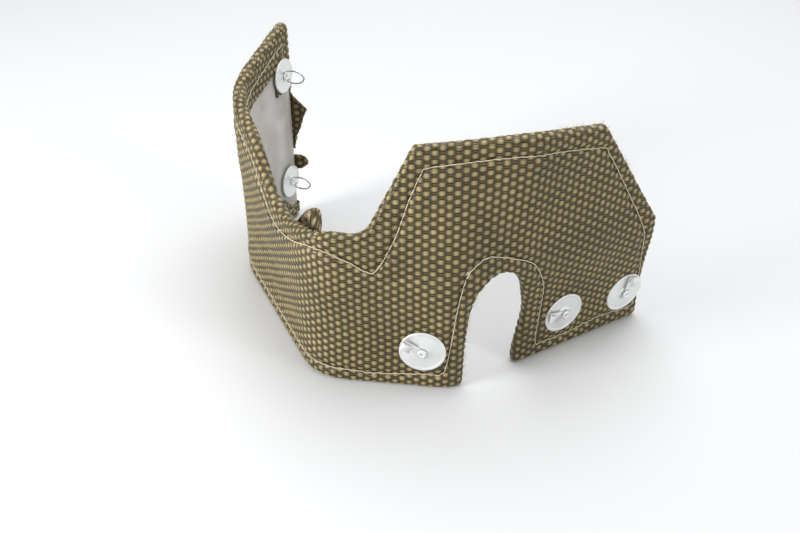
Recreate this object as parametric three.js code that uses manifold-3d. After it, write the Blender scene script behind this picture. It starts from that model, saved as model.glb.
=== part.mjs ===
// Heat blanket for a turbine housing: a woven outer cover with its hem turned to the
// inside, a fibre fill, a liner cloth, and five riveted lacing anchors.
// The sheet is laid out flat, in s along its length, h up from its lower edge and n inwards
// from its outer face. It is then bent in plan, so that it stands on its lower edge.
// Millimetres, +Z up, the outer face of the front panel towards -Y.

import * as THREE from 'three';
import { mergeVertices } from 'three/addons/utils/BufferGeometryUtils.js';
import Module from 'manifold-3d';

const wasm = await Module();
wasm.setup();

// Flat pattern
const FLAT_LENGTH = 477;      // lower edge, from the far end to the right end
const FAR_HEIGHT = 165;       // top corner at the far end
const SHOULDER_HEIGHT = 130;  // where the top edge drops towards the valley
const VALLEY_LOW = 97;        // lowest point of the top edge
const VALLEY_HIGH = 110;      // valley edge where it meets the front flap
const FLAP_HEIGHT = 172;      // top of the front flap, at its fold
const FLAP_LEFT_HEIGHT = 167; // left corner of the front flap
const FLAP_RIGHT_HEIGHT = 165;
const END_HEIGHT = 88;        // right end, below its slanted corner
const SLANT_RUN = 54;         // length that the slanted corner takes off the top edge
const END_LEAN = 5;           // the right end narrows upwards by this
const FLAP_WIDTH = 124;       // between the flap's two top corners
const SHOULDER_RUN = 30;      // length over which the flap rises from the valley
const ARCH_LEFT = 328;        // left foot of the arch
const ARCH_WIDTH = 40;        // opening between the feet
const ARCH_HEIGHT = 81;
const ARCH_BELLY = 5;         // the opening bulges to the right by this
const FOOT_RUN = 60;          // the hem's arch runs on below the lower edge by this
const FAR_RAW_LOW = 12;       // the far end's hem is left unturned between these heights
const FAR_RAW_HIGH = 112;

// Layers
const CLOTH = 1.5;            // outer cover cloth
const FILL = 2.7;
const LINER = 0.8;
const HEM_WIDTH = 25;         // cover cloth turned onto the inner face
const EDGE_ROUND = 2.4;       // rounding of the rolled edge
const GAP = 0.3;              // clearance between rigid pieces that touch
const LAYER_GAP = 0.5;        // clearance between the soft layers
const THICKNESS = 2 * CLOTH + FILL + LINER + 3 * LAYER_GAP;

// Coarse plain weave of the outer face: threads cross over and under by turns
const WARP_PITCH = 12;
const WEFT_PITCH = 9;
const WEAVE_RELIEF = 0.35;    // how far a crossing stands proud of the face, or below it
const CLOTH_RIPPLE = 0.04;    // slight unevenness of the other faces

// Bends of the standing sheet: place along the sheet, length, and turn in degrees at the
// lower edge and at the top of the flap. The last is the flap's own fold.
const FOLD_AT = 366;
const FOLD_LENGTH = 12;
const FOLD_TURN = 27;
const BENDS = [
  { at: 80, length: 64, low: 47, high: 47, curl: 1 },
  { at: 231, length: 50, low: 58, high: 67, curl: 1 },
  { at: 319, length: 26, low: 38.7, high: 2, curl: 2 },
  { at: FOLD_AT, length: FOLD_LENGTH, low: 0, high: FOLD_TURN, curl: 2 },
];
const FRONT_AT = 275;         // station on the front panel that the plan is laid out from
const FRONT_HEADING = -7.35;  // degrees
const FLAP_TWIST = 9;         // the flap's top edge is turned by this
const FLAP_LEAN = 11;         // and leans back by this
const LEAN_START = 80;        // height where the flap starts to lean
const LEAN_SOFTNESS = 0.15;   // share of the lean that its soft corner takes
const FRONT_POINT = new THREE.Vector2(-36.65, -107.75);

// Anchors: place of the rivet on the flat pattern, side of the hardware, direction of the hook
const ANCHOR_TO_ARCH = 28;    // rivet to the arch's left foot
const ARCH_TO_ANCHOR = 37;    // the arch's right foot to the next rivet
const ANCHOR_TO_END = 18.5;
const FAR_TO_ANCHOR = 15;     // the far end to its two rivets
const WASHER_RADIUS = 15;
const FAR_WASHER_RADIUS = 13;
const ANCHORS = [
  { name: 'front', at: ARCH_LEFT - ANCHOR_TO_ARCH, up: 31, side: 'out', turn: 150 },
  { name: 'arch', at: ARCH_LEFT + ARCH_WIDTH + ARCH_TO_ANCHOR, up: 31, side: 'out', turn: 168 },
  { name: 'end', at: FLAT_LENGTH - ANCHOR_TO_END, up: 28, side: 'out', turn: 75 },
  { name: 'far_top', at: FAR_TO_ANCHOR, up: 126, side: 'in', turn: 90 },
  { name: 'far_low', at: FAR_TO_ANCHOR + 1, up: 38, side: 'in', turn: 90 },
];
const WASHER_THICKNESS = 0.9;
const WASHER_RIM = 0.5;       // height of the rolled rim
const WASHER_BOSS = 0.9;      // height of the raised centre
const WASHER_BOSS_RADIUS = 5.2;
const BACK_WASHER_RADIUS = 11;
const RIVET_RADIUS = 1.6;
const RIVET_HEAD_RADIUS = 3.1;
const RIVET_HEAD_HEIGHT = 1.3;
const RIVET_HOLE_RADIUS = 0.8;
const STRIP_WIDTH = 5;
const STRIP_THICKNESS = 0.7;
const STRIP_CURL_RADIUS = 1.8;
const WIRE_RADIUS = 0.55;
const WIRE_REACH = 15;        // how far the loop stands off the liner
const WIRE_SPREAD = 9;        // width of the loop
const LATHE_SIDES = 24;
const RIVET_SIDES = 12;
const WIRE_STEPS = 24;

// Bending the sheet

const TOP = FLAP_HEIGHT - 7;
const radians = THREE.MathUtils.degToRad;

// Nought up to the start of the lean, then a straight rise to one, with a soft corner
function leanShare(h) {
  const q = (h - LEAN_START) / (TOP - LEAN_START);
  if (q < -LEAN_SOFTNESS) return 0;
  return q > LEAN_SOFTNESS ? q : (q + LEAN_SOFTNESS) ** 2 / (4 * LEAN_SOFTNESS);
}

function bendShare(t) {
  return THREE.MathUtils.smoothstep(t, -0.5, 0.5);
}

function heading(s, h) {
  const lean = leanShare(h);
  let angle = FRONT_HEADING + FLAP_TWIST * lean;
  for (const bend of BENDS) {
    const share = bend.curl === 1 ? lean : (h / TOP) ** 2;
    const turn = bend.low + (bend.high - bend.low) * share;
    const here = bendShare((s - bend.at) / bend.length);
    const front = bendShare((FRONT_AT - bend.at) / bend.length);
    angle += turn * (here - front);
  }
  return radians(angle);
}

// The plan curve at one height, as running sums of the heading
const PLAN_STEP = 1;
const PLAN_MARGIN = 20;
const planCache = new Map();

function planAt(h) {
  const key = Math.round(h * 50);
  if (planCache.has(key)) return planCache.get(key);
  const count = Math.ceil((FLAT_LENGTH + 2 * PLAN_MARGIN) / PLAN_STEP) + 1;
  const x = new Float64Array(count);
  const y = new Float64Array(count);
  let before = heading(-PLAN_MARGIN, h);
  for (let i = 1; i < count; i += 1) {
    const here = heading(i * PLAN_STEP - PLAN_MARGIN, h);
    x[i] = x[i - 1] + 0.5 * PLAN_STEP * (Math.cos(before) + Math.cos(here));
    y[i] = y[i - 1] + 0.5 * PLAN_STEP * (Math.sin(before) + Math.sin(here));
    before = here;
  }
  const plan = { x, y };
  planCache.set(key, plan);
  return plan;
}

function planPoint(plan, s) {
  const place = (s + PLAN_MARGIN) / PLAN_STEP;
  const i = THREE.MathUtils.clamp(Math.floor(place), 0, plan.x.length - 2);
  const t = place - i;
  return [
    plan.x[i] + t * (plan.x[i + 1] - plan.x[i]),
    plan.y[i] + t * (plan.y[i + 1] - plan.y[i]),
  ];
}

function outerFace(s, h) {
  const plan = planAt(h);
  const [x, y] = planPoint(plan, s);
  const [x0, y0] = planPoint(plan, FRONT_AT);
  const lean = FLAP_LEAN * leanShare(h);
  return new THREE.Vector3(FRONT_POINT.x + x - x0, FRONT_POINT.y + y - y0 + lean, h);
}

// The outer face, moved inwards by n along its own normal
function bent(s, h, n) {
  const angle = heading(s, h);
  const along = new THREE.Vector3(Math.cos(angle), Math.sin(angle), 0);
  const rise = outerFace(s, h + 1).sub(outerFace(s, Math.max(0, h - 1)));
  const inwards = rise.cross(along).normalize();
  return outerFace(s, h).addScaledVector(inwards, n);
}

// The grid

// Stations: close enough in each bend that a chord stays near its arc, wider on the
// twisted flap, and widest on the flat wing
function bendStations(flap, wing) {
  const stations = [-PLAN_MARGIN / 2];
  const end = FLAT_LENGTH + PLAN_MARGIN / 2;
  const reaches = BENDS.map(({ at, length, low, high }) => {
    const radius = length / (1.5 * radians(Math.max(low, high)));
    const stride = Math.sqrt(8 * radius * CHORD_ERROR);
    return { start: at - length / 2 - stride / 2, end: at + length / 2, stride };
  });
  while (stations.at(-1) < end) {
    const s = stations.at(-1);
    const bend = reaches.find((reach) => s >= reach.start - 0.01 && s < reach.end);
    const ahead = reaches.map((reach) => reach.start - s).filter((gap) => gap > 0.01);
    const open = Math.min(s < FLAP_STATIONS ? wing : flap, ...ahead);
    stations.push(Math.min(end, s + (bend ? bend.stride : open)));
  }
  return stations;
}

function evenStations(start, end, pitch) {
  const count = Math.ceil((end - start) / pitch);
  return Array.from({ length: count + 1 }, (_, i) => start + (i * (end - start)) / count);
}

const CHORD_ERROR = 0.2;
const FLAP_STATIONS = BENDS[1].at + 20;
const MIN_SIDE = 2.5;
const RIM_OVERRUN = 0.15;
const smoothColumns = bendStations(13, 60);
const LOW_ROWS = [-9.3, 24, 48];
const smoothRows = [...LOW_ROWS, ...evenStations(LEAN_START - 9, FLAP_HEIGHT + 9, 16)];
const weaveColumns = bendStations(WARP_PITCH, WARP_PITCH);
const weaveRows = evenStations(-9.1, FLAP_HEIGHT + 9.4, WEFT_PITCH);
const checker = (i, j) => ((i + j) % 2 === 0 ? 1 : -1);

// The flat outline

function cornerList(arch) {
  const flapLeft = FLAT_LENGTH - 6 - SLANT_RUN - FLAP_WIDTH;
  const flapRight = flapLeft + FLAP_WIDTH;
  const valleyEnd = flapLeft - SHOULDER_RUN;
  return [
    { s: 0, h: 0, r: 6 },
    ...arch,
    { s: FLAT_LENGTH, h: 0, r: 6 },
    { s: FLAT_LENGTH - END_LEAN, h: END_HEIGHT, r: 6 },
    { s: flapRight, h: FLAP_RIGHT_HEIGHT, r: 4 },
    { s: FOLD_AT, h: FLAP_HEIGHT, r: 30 },
    { s: flapLeft, h: FLAP_LEFT_HEIGHT, r: 5 },
    { s: valleyEnd, h: VALLEY_HIGH, r: 14 },
    { s: valleyEnd - 20, h: VALLEY_HIGH + 1, r: 20 },
    { s: valleyEnd - 80, h: VALLEY_LOW, r: 30 },
    { s: valleyEnd - 104, h: VALLEY_LOW + 4, r: 20 },
    { s: valleyEnd - 138, h: SHOULDER_HEIGHT, r: 24 },
    { s: 0, h: FAR_HEIGHT, r: 7 },
  ];
}

function archPoints() {
  const left = ARCH_LEFT;
  const right = ARCH_LEFT + ARCH_WIDTH;
  const knots = [
    [left + 0.4, 10], [left + 1.2, 34], [left + 5, 62], [left + 14, ARCH_HEIGHT - 4.5],
    [left + 25, ARCH_HEIGHT], [right - 4, ARCH_HEIGHT - 7], [right + ARCH_BELLY - 1.5, 53],
    [right + ARCH_BELLY, 36], [right + 1, 12],
  ];
  const curve = new THREE.SplineCurve(knots.map(([s, h]) => new THREE.Vector2(s, h)));
  const edge = curve.getSpacedPoints(20).map((p) => ({ s: p.x, h: p.y, r: 0 }));
  return [{ s: left, h: 0, r: 5 }, ...edge, { s: right, h: 0, r: 5 }];
}

// The arch alone, run on below the lower edge and grown by the hem
function grownArch(distance) {
  const edge = archPoints();
  edge[0].h = -FOOT_RUN;
  edge.at(-1).h = -FOOT_RUN;
  const loop = edge.map(({ s, h }) => new THREE.Vector2(s, h));
  return insetLoop(loop, distance).reverse();
}

// Moves each side of a polygon inwards by a distance and meets the sides again
function insetCorners(corners, distance) {
  const sides = corners.map((corner, i) => {
    const next = corners[(i + 1) % corners.length];
    const along = new THREE.Vector2(next.s - corner.s, next.h - corner.h).normalize();
    const start = new THREE.Vector2(corner.s - along.y * distance, corner.h + along.x * distance);
    return { start, along };
  });
  return corners.map((corner, i) => {
    const a = sides[(i + corners.length - 1) % corners.length];
    const b = sides[i];
    const cross = a.along.x * b.along.y - a.along.y * b.along.x;
    const middle = b.start.clone();
    if (Math.abs(cross) > 1e-3) {
      const offset = b.start.clone().sub(a.start);
      const reach = (offset.x * b.along.y - offset.y * b.along.x) / cross;
      middle.copy(a.start).addScaledVector(a.along, reach);
    }
    const radius = corner.r === 0 ? 0 : Math.max(2, corner.r + (cross > 0 ? -1 : 1) * distance);
    return { s: middle.x, h: middle.y, r: radius };
  });
}

// Where a straight side crosses the grid's columns and rows, away from its two ends
function gridCrossings(from, to) {
  const run = to.clone().sub(from);
  const margin = MIN_SIDE / Math.max(MIN_SIDE, run.length());
  const shares = [];
  if (Math.abs(run.x) > MIN_SIDE) shares.push(...smoothColumns.map((s) => (s - from.x) / run.x));
  if (Math.abs(run.y) > MIN_SIDE) shares.push(...smoothRows.map((h) => (h - from.y) / run.y));
  const kept = [];
  for (const share of shares.sort((a, b) => a - b)) {
    const last = kept.length ? kept.at(-1) : 0;
    if (share > last + margin && share < 1 - margin) kept.push(share);
  }
  return kept.map((share) => from.clone().lerp(to, share));
}

// Rounds the corners by arcs and returns a closed loop of points, anticlockwise
function roundedLoop(corners) {
  const loop = [];
  const count = corners.length;
  const at = (i) => new THREE.Vector2(corners[i].s, corners[i].h);
  const ends = corners.map((corner, i) => {
    const here = at(i);
    const back = at((i + count - 1) % count).sub(here);
    const on = at((i + 1) % count).sub(here);
    const half = back.angleTo(on) / 2;
    const reach = Math.min(corner.r / Math.tan(half), 0.45 * back.length(), 0.45 * on.length());
    return {
      enter: here.clone().addScaledVector(back.normalize(), reach),
      leave: here.clone().addScaledVector(on.normalize(), reach),
      here,
      turn: Math.PI - 2 * half,
      reach,
    };
  });
  ends.forEach((end, i) => {
    if (end.reach < 0.5) {
      loop.push(end.here.clone());
    } else {
      const parts = Math.max(2, Math.ceil(end.turn / radians(22)));
      const arc = new THREE.QuadraticBezierCurve(end.enter, end.here, end.leave);
      loop.push(...arc.getPoints(parts));
    }
    const next = ends[(i + 1) % count];
    const from = end.reach < 0.5 ? end.here : end.leave;
    const to = next.reach < 0.5 ? next.here : next.enter;
    loop.push(...gridCrossings(from, to));
  });
  return loop;
}

// Moves each point of a loop inwards along the bisector of its sides. The points that
// follow each other can be staggered, so that no three lie on one straight line.
function insetLoop(loop, distance, stagger = 0) {
  return loop.map((point, i) => {
    const before = loop[(i + loop.length - 1) % loop.length];
    const after = loop[(i + 1) % loop.length];
    const one = point.clone().sub(before).normalize();
    const two = after.clone().sub(point).normalize();
    const normal = new THREE.Vector2(-one.y - two.y, one.x + two.x).normalize();
    const stretch = Math.min(1.3, 1 / Math.max(0.5, normal.dot(new THREE.Vector2(-one.y, one.x))));
    return point.clone().addScaledVector(normal, distance * stretch + (i % 2) * stagger);
  });
}

// Solids in flat space

function closedGeometry(positions, indices) {
  const geometry = new THREE.BufferGeometry();
  geometry.setAttribute('position', new THREE.Float32BufferAttribute(positions, 3));
  geometry.setIndex(indices);
  return geometry;
}

function toManifold(geometry) {
  const bare = geometry.clone();
  bare.deleteAttribute('normal');
  bare.deleteAttribute('uv');
  const merged = mergeVertices(bare, 1e-4);
  return new wasm.Manifold(new wasm.Mesh({
    numProp: 3,
    vertProperties: new Float32Array(merged.attributes.position.array),
    triVerts: new Uint32Array(merged.index.array),
  }));
}

function fromManifold(solid) {
  const mesh = solid.getMesh();
  return closedGeometry(Array.from(mesh.vertProperties), Array.from(mesh.triVerts));
}

// A prism over the outline made of rings, each with its own inset and depth
function ringPrism(loop, rings) {
  const positions = [];
  const indices = [];
  const count = loop.length;
  const outlines = rings.map(({ inset }, r) => {
    const inner = r > 0 && r < rings.length - 1;
    return insetLoop(loop, inset, inner ? 0 : CLOTH_RIPPLE);
  });
  rings.forEach(({ n }, r) => {
    const ring = outlines[r];
    const inner = r > 0 && r < rings.length - 1;
    ring.forEach((point, i) => {
      const ripple = inner ? (i % 2 ? 1 : -1) * CLOTH_RIPPLE : 0;
      positions.push(point.x, point.y, n + ripple);
    });
  });
  const cap = THREE.ShapeUtils.triangulateShape(outlines[0], []);
  const last = (rings.length - 1) * count;
  for (const [a, b, c] of cap) {
    indices.push(a, c, b);
  }
  const lid = THREE.ShapeUtils.triangulateShape(outlines.at(-1), []);
  for (const [a, b, c] of lid) {
    indices.push(last + a, last + b, last + c);
  }
  for (let r = 0; r < rings.length - 1; r += 1) {
    for (let i = 0; i < count; i += 1) {
      const j = (i + 1) % count;
      const a = r * count + i;
      const b = r * count + j;
      indices.push(a, b, b + count, a, b + count, a + count);
    }
  }
  return toManifold(closedGeometry(positions, indices));
}

// A slab between two surfaces over the same grid of stations
function gridSlab(columns, rows, low, high) {
  const positions = [];
  const indices = [];
  const across = columns.length;
  const size = across * rows.length;
  for (const face of [low, high]) {
    rows.forEach((h, j) => {
      columns.forEach((s, i) => positions.push(s, h, face(i, j)));
    });
  }
  for (let j = 0; j + 1 < rows.length; j += 1) {
    for (let i = 0; i + 1 < across; i += 1) {
      const a = j * across + i;
      const b = a + 1;
      const c = a + across;
      const d = c + 1;
      const swap = (i + j) % 2 === 0;
      const pairs = swap ? [[a, b, d], [a, d, c]] : [[a, b, c], [b, d, c]];
      for (const [p, q, r] of pairs) {
        indices.push(p, r, q, size + p, size + q, size + r);
      }
    }
  }
  const rim = [];
  for (let i = 0; i < across; i += 1) rim.push(i);
  for (let j = 1; j < rows.length; j += 1) rim.push(j * across + across - 1);
  for (let i = across - 2; i >= 0; i -= 1) rim.push((rows.length - 1) * across + i);
  for (let j = rows.length - 2; j >= 1; j -= 1) rim.push(j * across);
  rim.forEach((a, k) => {
    const b = rim[(k + 1) % rim.length];
    indices.push(a, b, size + b, a, size + b, size + a);
  });
  return toManifold(closedGeometry(positions, indices));
}

function smoothSlab(low, high) {
  return gridSlab(
    smoothColumns,
    smoothRows,
    (i, j) => low + checker(i, j) * CLOTH_RIPPLE,
    (i, j) => high + checker(i, j) * CLOTH_RIPPLE,
  );
}

// Flat space is left-handed once it is bent, so each triangle runs the other way round
function turnFacesOver(geometry) {
  const order = geometry.index.array;
  for (let i = 0; i < order.length; i += 3) {
    [order[i + 1], order[i + 2]] = [order[i + 2], order[i + 1]];
  }
}

function bentGeometry(solid) {
  const geometry = fromManifold(solid);
  const place = geometry.attributes.position;
  for (let i = 0; i < place.count; i += 1) {
    const point = bent(place.getX(i), place.getY(i), place.getZ(i));
    place.setXYZ(i, point.x, point.y, point.z);
  }
  turnFacesOver(geometry);
  geometry.computeVertexNormals();
  return geometry;
}

const outline = roundedLoop(cornerList(archPoints()));
const plainOutline = cornerList([]);

function rivetHoles(radius) {
  return ANCHORS.map(({ at, up }) => {
    const drill = new THREE.CylinderGeometry(radius, radius, 2 * THICKNESS, 12);
    drill.rotateX(Math.PI / 2);
    drill.translate(at, up, THICKNESS / 2);
    return toManifold(drill);
  });
}

function drilled(solid, radius) {
  return rivetHoles(radius).reduce((body, hole) => body.subtract(hole), solid);
}

// The stretch of the far end where the cover's cloth ends at the edge and isn't turned in
function rawEnd(depth) {
  const past = 2;
  const corners = [
    [-past, FAR_RAW_LOW], [HEM_WIDTH + past, FAR_RAW_LOW],
    [HEM_WIDTH + past, FAR_RAW_HIGH], [-past, FAR_RAW_HIGH],
  ];
  return ringPrism(corners.map(([s, h]) => new THREE.Vector2(s, h)), depth);
}

function outerCover() {
  const rolled = ringPrism(outline, [
    { inset: EDGE_ROUND * 1.15, n: -WEAVE_RELIEF - RIM_OVERRUN },
    { inset: EDGE_ROUND * 0.3, n: EDGE_ROUND * 0.3 },
    { inset: 0, n: EDGE_ROUND },
    { inset: 0, n: THICKNESS - EDGE_ROUND },
    { inset: EDGE_ROUND * 0.3, n: THICKNESS - EDGE_ROUND * 0.3 },
    { inset: EDGE_ROUND * 1.15, n: THICKNESS + RIM_OVERRUN },
  ]);
  const faced = gridSlab(
    weaveColumns,
    weaveRows,
    (i, j) => checker(i, j) * WEAVE_RELIEF,
    () => THICKNESS + 2,
  ).intersect(smoothSlab(-2, THICKNESS));
  const pocket = ringPrism(insetLoop(outline, CLOTH), [
    { inset: 0, n: -1 },
    { inset: 0, n: THICKNESS + 1 },
  ]).intersect(smoothSlab(CLOTH, THICKNESS - CLOTH));
  const openingDepth = [{ inset: 0, n: THICKNESS / 2 }, { inset: 0, n: THICKNESS + 2 }];
  const archDepth = [{ inset: 0, n: 0 }, { inset: 0, n: THICKNESS + 4 }];
  const opening = ringPrism(roundedLoop(insetCorners(plainOutline, HEM_WIDTH)), openingDepth)
    .add(rawEnd(openingDepth))
    .subtract(ringPrism(grownArch(HEM_WIDTH), archDepth));
  const body = rolled.intersect(faced).subtract(pocket).subtract(opening);
  return bentGeometry(drilled(body, RIVET_RADIUS + GAP));
}

function innerLayer(low, high) {
  const slab = ringPrism(insetLoop(outline, CLOTH + LAYER_GAP), [
    { inset: 0, n: -1 },
    { inset: 0, n: THICKNESS + 1 },
  ]).intersect(smoothSlab(low, high));
  return bentGeometry(drilled(slab, RIVET_RADIUS + GAP));
}

// Anchors

// A frame on the sheet: x along the sheet, y up, z away from the face on the hardware's side
function anchorFrame({ at, up, side }) {
  const n = side === 'out' ? 0 : THICKNESS;
  const centre = bent(at, up, n);
  const along = bent(at + 6, up, n).sub(bent(at - 6, up, n)).normalize();
  const rise = bent(at, up + 6, n).sub(bent(at, up - 6, n)).normalize();
  const outwards = along.clone().cross(rise).normalize();
  if (side === 'in') {
    along.negate();
    outwards.negate();
  }
  rise.copy(outwards).cross(along);
  return new THREE.Matrix4().makeBasis(along, rise, outwards).setPosition(centre);
}

function lathe(profile, sides) {
  const points = profile.map(([r, z]) => new THREE.Vector2(r, z));
  const geometry = new THREE.LatheGeometry(points, sides);
  geometry.rotateX(Math.PI / 2);
  return geometry;
}

function placed(geometry, anchor) {
  const out = geometry.clone();
  out.applyMatrix4(anchorFrame(anchor));
  return out;
}

const FACE_CLEAR = WEAVE_RELIEF + GAP;
const washerBase = FACE_CLEAR;
const washerTop = washerBase + WASHER_THICKNESS;
const hookBase = washerTop + WASHER_BOSS + GAP;
const hookTop = hookBase + STRIP_THICKNESS;
const backBase = -THICKNESS - FACE_CLEAR;
const backTop = backBase - WASHER_THICKNESS;

function faceWasher(rim) {
  const hole = RIVET_RADIUS + GAP;
  return lathe([
    [hole, washerBase], [rim, washerBase], [rim, washerTop + WASHER_RIM - 0.3],
    [rim - 1, washerTop + WASHER_RIM], [rim - 2.2, washerTop],
    [WASHER_BOSS_RADIUS, washerTop], [WASHER_BOSS_RADIUS - 1.4, washerTop + WASHER_BOSS],
    [hole, washerTop + WASHER_BOSS], [hole, washerBase],
  ], LATHE_SIDES);
}

function backWasher() {
  const hole = RIVET_RADIUS + GAP;
  return lathe([
    [hole, backBase], [hole, backTop], [BACK_WASHER_RADIUS - 0.3, backTop],
    [BACK_WASHER_RADIUS, backBase], [hole, backBase],
  ], LATHE_SIDES);
}

function rivet(seat) {
  const head = seat + GAP;
  const crown = head + RIVET_HEAD_HEIGHT;
  const tail = backTop - GAP;
  const flare = tail - RIVET_HEAD_HEIGHT * 0.8;
  const bore = RIVET_HOLE_RADIUS;
  return lathe([
    [0, flare], [RIVET_HEAD_RADIUS * 0.8, flare], [RIVET_HEAD_RADIUS * 0.85, tail],
    [RIVET_RADIUS, tail], [RIVET_RADIUS, head], [RIVET_HEAD_RADIUS, head],
    [RIVET_HEAD_RADIUS, head + 0.5], [RIVET_HEAD_RADIUS * 0.75, crown - 0.2],
    [bore, crown], [bore, head - 1.5], [0, head - 1.5],
  ], RIVET_SIDES);
}

// A flat strip with an eye round the rivet. It runs to the rim and curls back on itself.
function stripHook({ turn }) {
  const mid = hookBase + STRIP_THICKNESS / 2;
  const curl = STRIP_CURL_RADIUS;
  const reach = WASHER_RADIUS - 2;
  const centre = mid + curl;
  const route = [[-STRIP_WIDTH * 0.75, mid], [reach, mid]];
  for (let k = 1; k <= 8; k += 1) {
    const angle = radians(-90 + k * 25);
    route.push([reach + curl * Math.cos(angle), centre + curl * Math.sin(angle)]);
  }
  route.push([reach - 5, centre + curl * 0.75]);
  const half = STRIP_THICKNESS / 2;
  const side = (sign) => route.map(([x, z], i) => {
    const before = route[Math.max(0, i - 1)];
    const after = route[Math.min(route.length - 1, i + 1)];
    const along = new THREE.Vector2(after[0] - before[0], after[1] - before[1]).normalize();
    return new THREE.Vector2(x - along.y * half * sign, z + along.x * half * sign);
  });
  const shape = new THREE.Shape([...side(-1), ...side(1).reverse()]);
  const strip = new THREE.ExtrudeGeometry(shape, { depth: STRIP_WIDTH, bevelEnabled: false, steps: 1 });
  strip.translate(0, 0, -STRIP_WIDTH / 2);
  strip.rotateX(Math.PI / 2);
  const eyeRadius = RIVET_RADIUS + GAP;
  const eye = new THREE.CylinderGeometry(eyeRadius, eyeRadius, 4 * STRIP_THICKNESS, 16);
  eye.rotateX(Math.PI / 2);
  eye.translate(0, 0, mid);
  const body = fromManifold(toManifold(strip).subtract(toManifold(eye)));
  body.rotateZ(radians(turn));
  body.computeVertexNormals();
  return body;
}

// A wire bow that stands off the washer, with its two feet beside the rivet
function wireLoop({ turn }) {
  const foot = washerTop + WASHER_BOSS + GAP + WIRE_RADIUS;
  const half = WIRE_SPREAD / 2;
  const start = RIVET_HEAD_RADIUS + GAP + WIRE_RADIUS;
  const right = [
    [start, 5, foot], [start + 0.2, 1.5, foot + 0.1], [start + 0.1, 0, foot + 1.5],
    [half + 0.3, 0, foot + WIRE_REACH * 0.45], [half * 0.8, 0, foot + WIRE_REACH * 0.8],
  ];
  const left = right.map(([x, y, z]) => [-x, -y, z]).reverse();
  const route = [...right, [0, 0, foot + WIRE_REACH], ...left];
  const curve = new THREE.CatmullRomCurve3(route.map((p) => new THREE.Vector3(...p)), false, 'centripetal');
  const section = new THREE.Shape();
  section.absarc(0, 0, WIRE_RADIUS, 0, 2 * Math.PI);
  const wire = new THREE.ExtrudeGeometry(section, { steps: WIRE_STEPS, extrudePath: curve, curveSegments: 3 });
  wire.rotateZ(radians(turn));
  return wire;
}

// The object

function material(color, roughness, metalness) {
  return new THREE.MeshStandardMaterial({ color, roughness, metalness });
}

const wovenCloth = material('#7d704b', 0.75, 0.15);
const fillWool = material('#e4dfd2', 0.95, 0);
const linerCloth = material('#bdb9b4', 0.85, 0);
const zincSteel = material('#d5dadb', 0.35, 0.9);
const springWire = material('#9ba0a3', 0.3, 1);

const blanket = new THREE.Group();

function add(name, geometry, finish) {
  const mesh = new THREE.Mesh(geometry, finish);
  mesh.name = name;
  blanket.add(mesh);
}

const fillLow = CLOTH + LAYER_GAP;
const linerLow = fillLow + FILL + LAYER_GAP;

add('outer_cover', outerCover(), wovenCloth);
add('fill_mat', innerLayer(fillLow, fillLow + FILL), fillWool);
add('inner_liner', innerLayer(linerLow, linerLow + LINER), linerCloth);

for (const anchor of ANCHORS) {
  const isHook = anchor.side === 'out';
  const seat = isHook ? hookTop : washerTop + WASHER_BOSS;
  const rim = isHook ? WASHER_RADIUS : FAR_WASHER_RADIUS;
  add(`${anchor.name}_washer`, placed(faceWasher(rim), anchor), zincSteel);
  add(`${anchor.name}_backing_washer`, placed(backWasher(), anchor), zincSteel);
  add(`${anchor.name}_rivet`, placed(rivet(seat), anchor), zincSteel);
  if (isHook) {
    add(`${anchor.name}_strip_hook`, placed(stripHook(anchor), anchor), zincSteel);
  } else {
    add(`${anchor.name}_wire_loop`, placed(wireLoop(anchor), anchor), springWire);
  }
}

export default blanket;
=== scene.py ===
# %% [markdown]
# This lesson dresses a heat blanket for a turbine housing. The blanket is a coarse woven
# cover with its hem turned to the inside, a pale liner, and five riveted lacing anchors.
# The construction is already there as a fixed frame of solids, so this script only makes
# the cloth, the thread and the metal look right around it. Everything is in metres.

# %% Loading the frame
import math

import bmesh
import bpy
import numpy as np
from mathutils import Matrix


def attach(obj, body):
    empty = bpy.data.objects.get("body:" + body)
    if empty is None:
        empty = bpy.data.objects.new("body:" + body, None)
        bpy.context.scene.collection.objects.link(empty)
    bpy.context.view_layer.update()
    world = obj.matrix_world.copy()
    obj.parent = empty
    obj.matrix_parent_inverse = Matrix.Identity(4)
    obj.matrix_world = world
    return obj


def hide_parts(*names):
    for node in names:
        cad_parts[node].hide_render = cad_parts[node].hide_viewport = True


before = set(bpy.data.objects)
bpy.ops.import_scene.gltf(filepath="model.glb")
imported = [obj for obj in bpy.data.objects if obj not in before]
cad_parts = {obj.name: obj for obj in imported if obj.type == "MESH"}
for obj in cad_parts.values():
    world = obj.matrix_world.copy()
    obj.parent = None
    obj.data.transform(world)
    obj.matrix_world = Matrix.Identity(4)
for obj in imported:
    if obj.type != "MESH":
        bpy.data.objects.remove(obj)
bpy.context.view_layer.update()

# %% [markdown]
# The camera stands in front of the blanket and looks down on it by 34 degrees. It comes
# first, so that every later render is judged in the same view.

# %% The camera
CAMERA_PLACE = (-0.0261, -0.6047, 0.428)
CAMERA_DOWN = math.radians(34)
LENS = 45

camera_data = bpy.data.cameras.new("camera")
camera_data.lens = LENS
camera_data.sensor_width = 36
camera = bpy.data.objects.new("camera", camera_data)
camera.location = CAMERA_PLACE
camera.rotation_euler = (math.pi / 2 - CAMERA_DOWN, 0, 0)
bpy.context.scene.collection.objects.link(camera)
bpy.context.scene.camera = camera
print("camera at", CAMERA_PLACE, "lens", LENS)

# %% [markdown]
# The real cover is cut flat and then bent round the housing. The script does the same. A
# point of the flat cloth is (s, h): s along the lower edge from the far end, and h up from
# it. A third number n goes inwards from the outer face. The sheet's heading is a sum of soft
# turns, each at its own place along the cloth, and the flap leans back above the bend.

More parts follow.
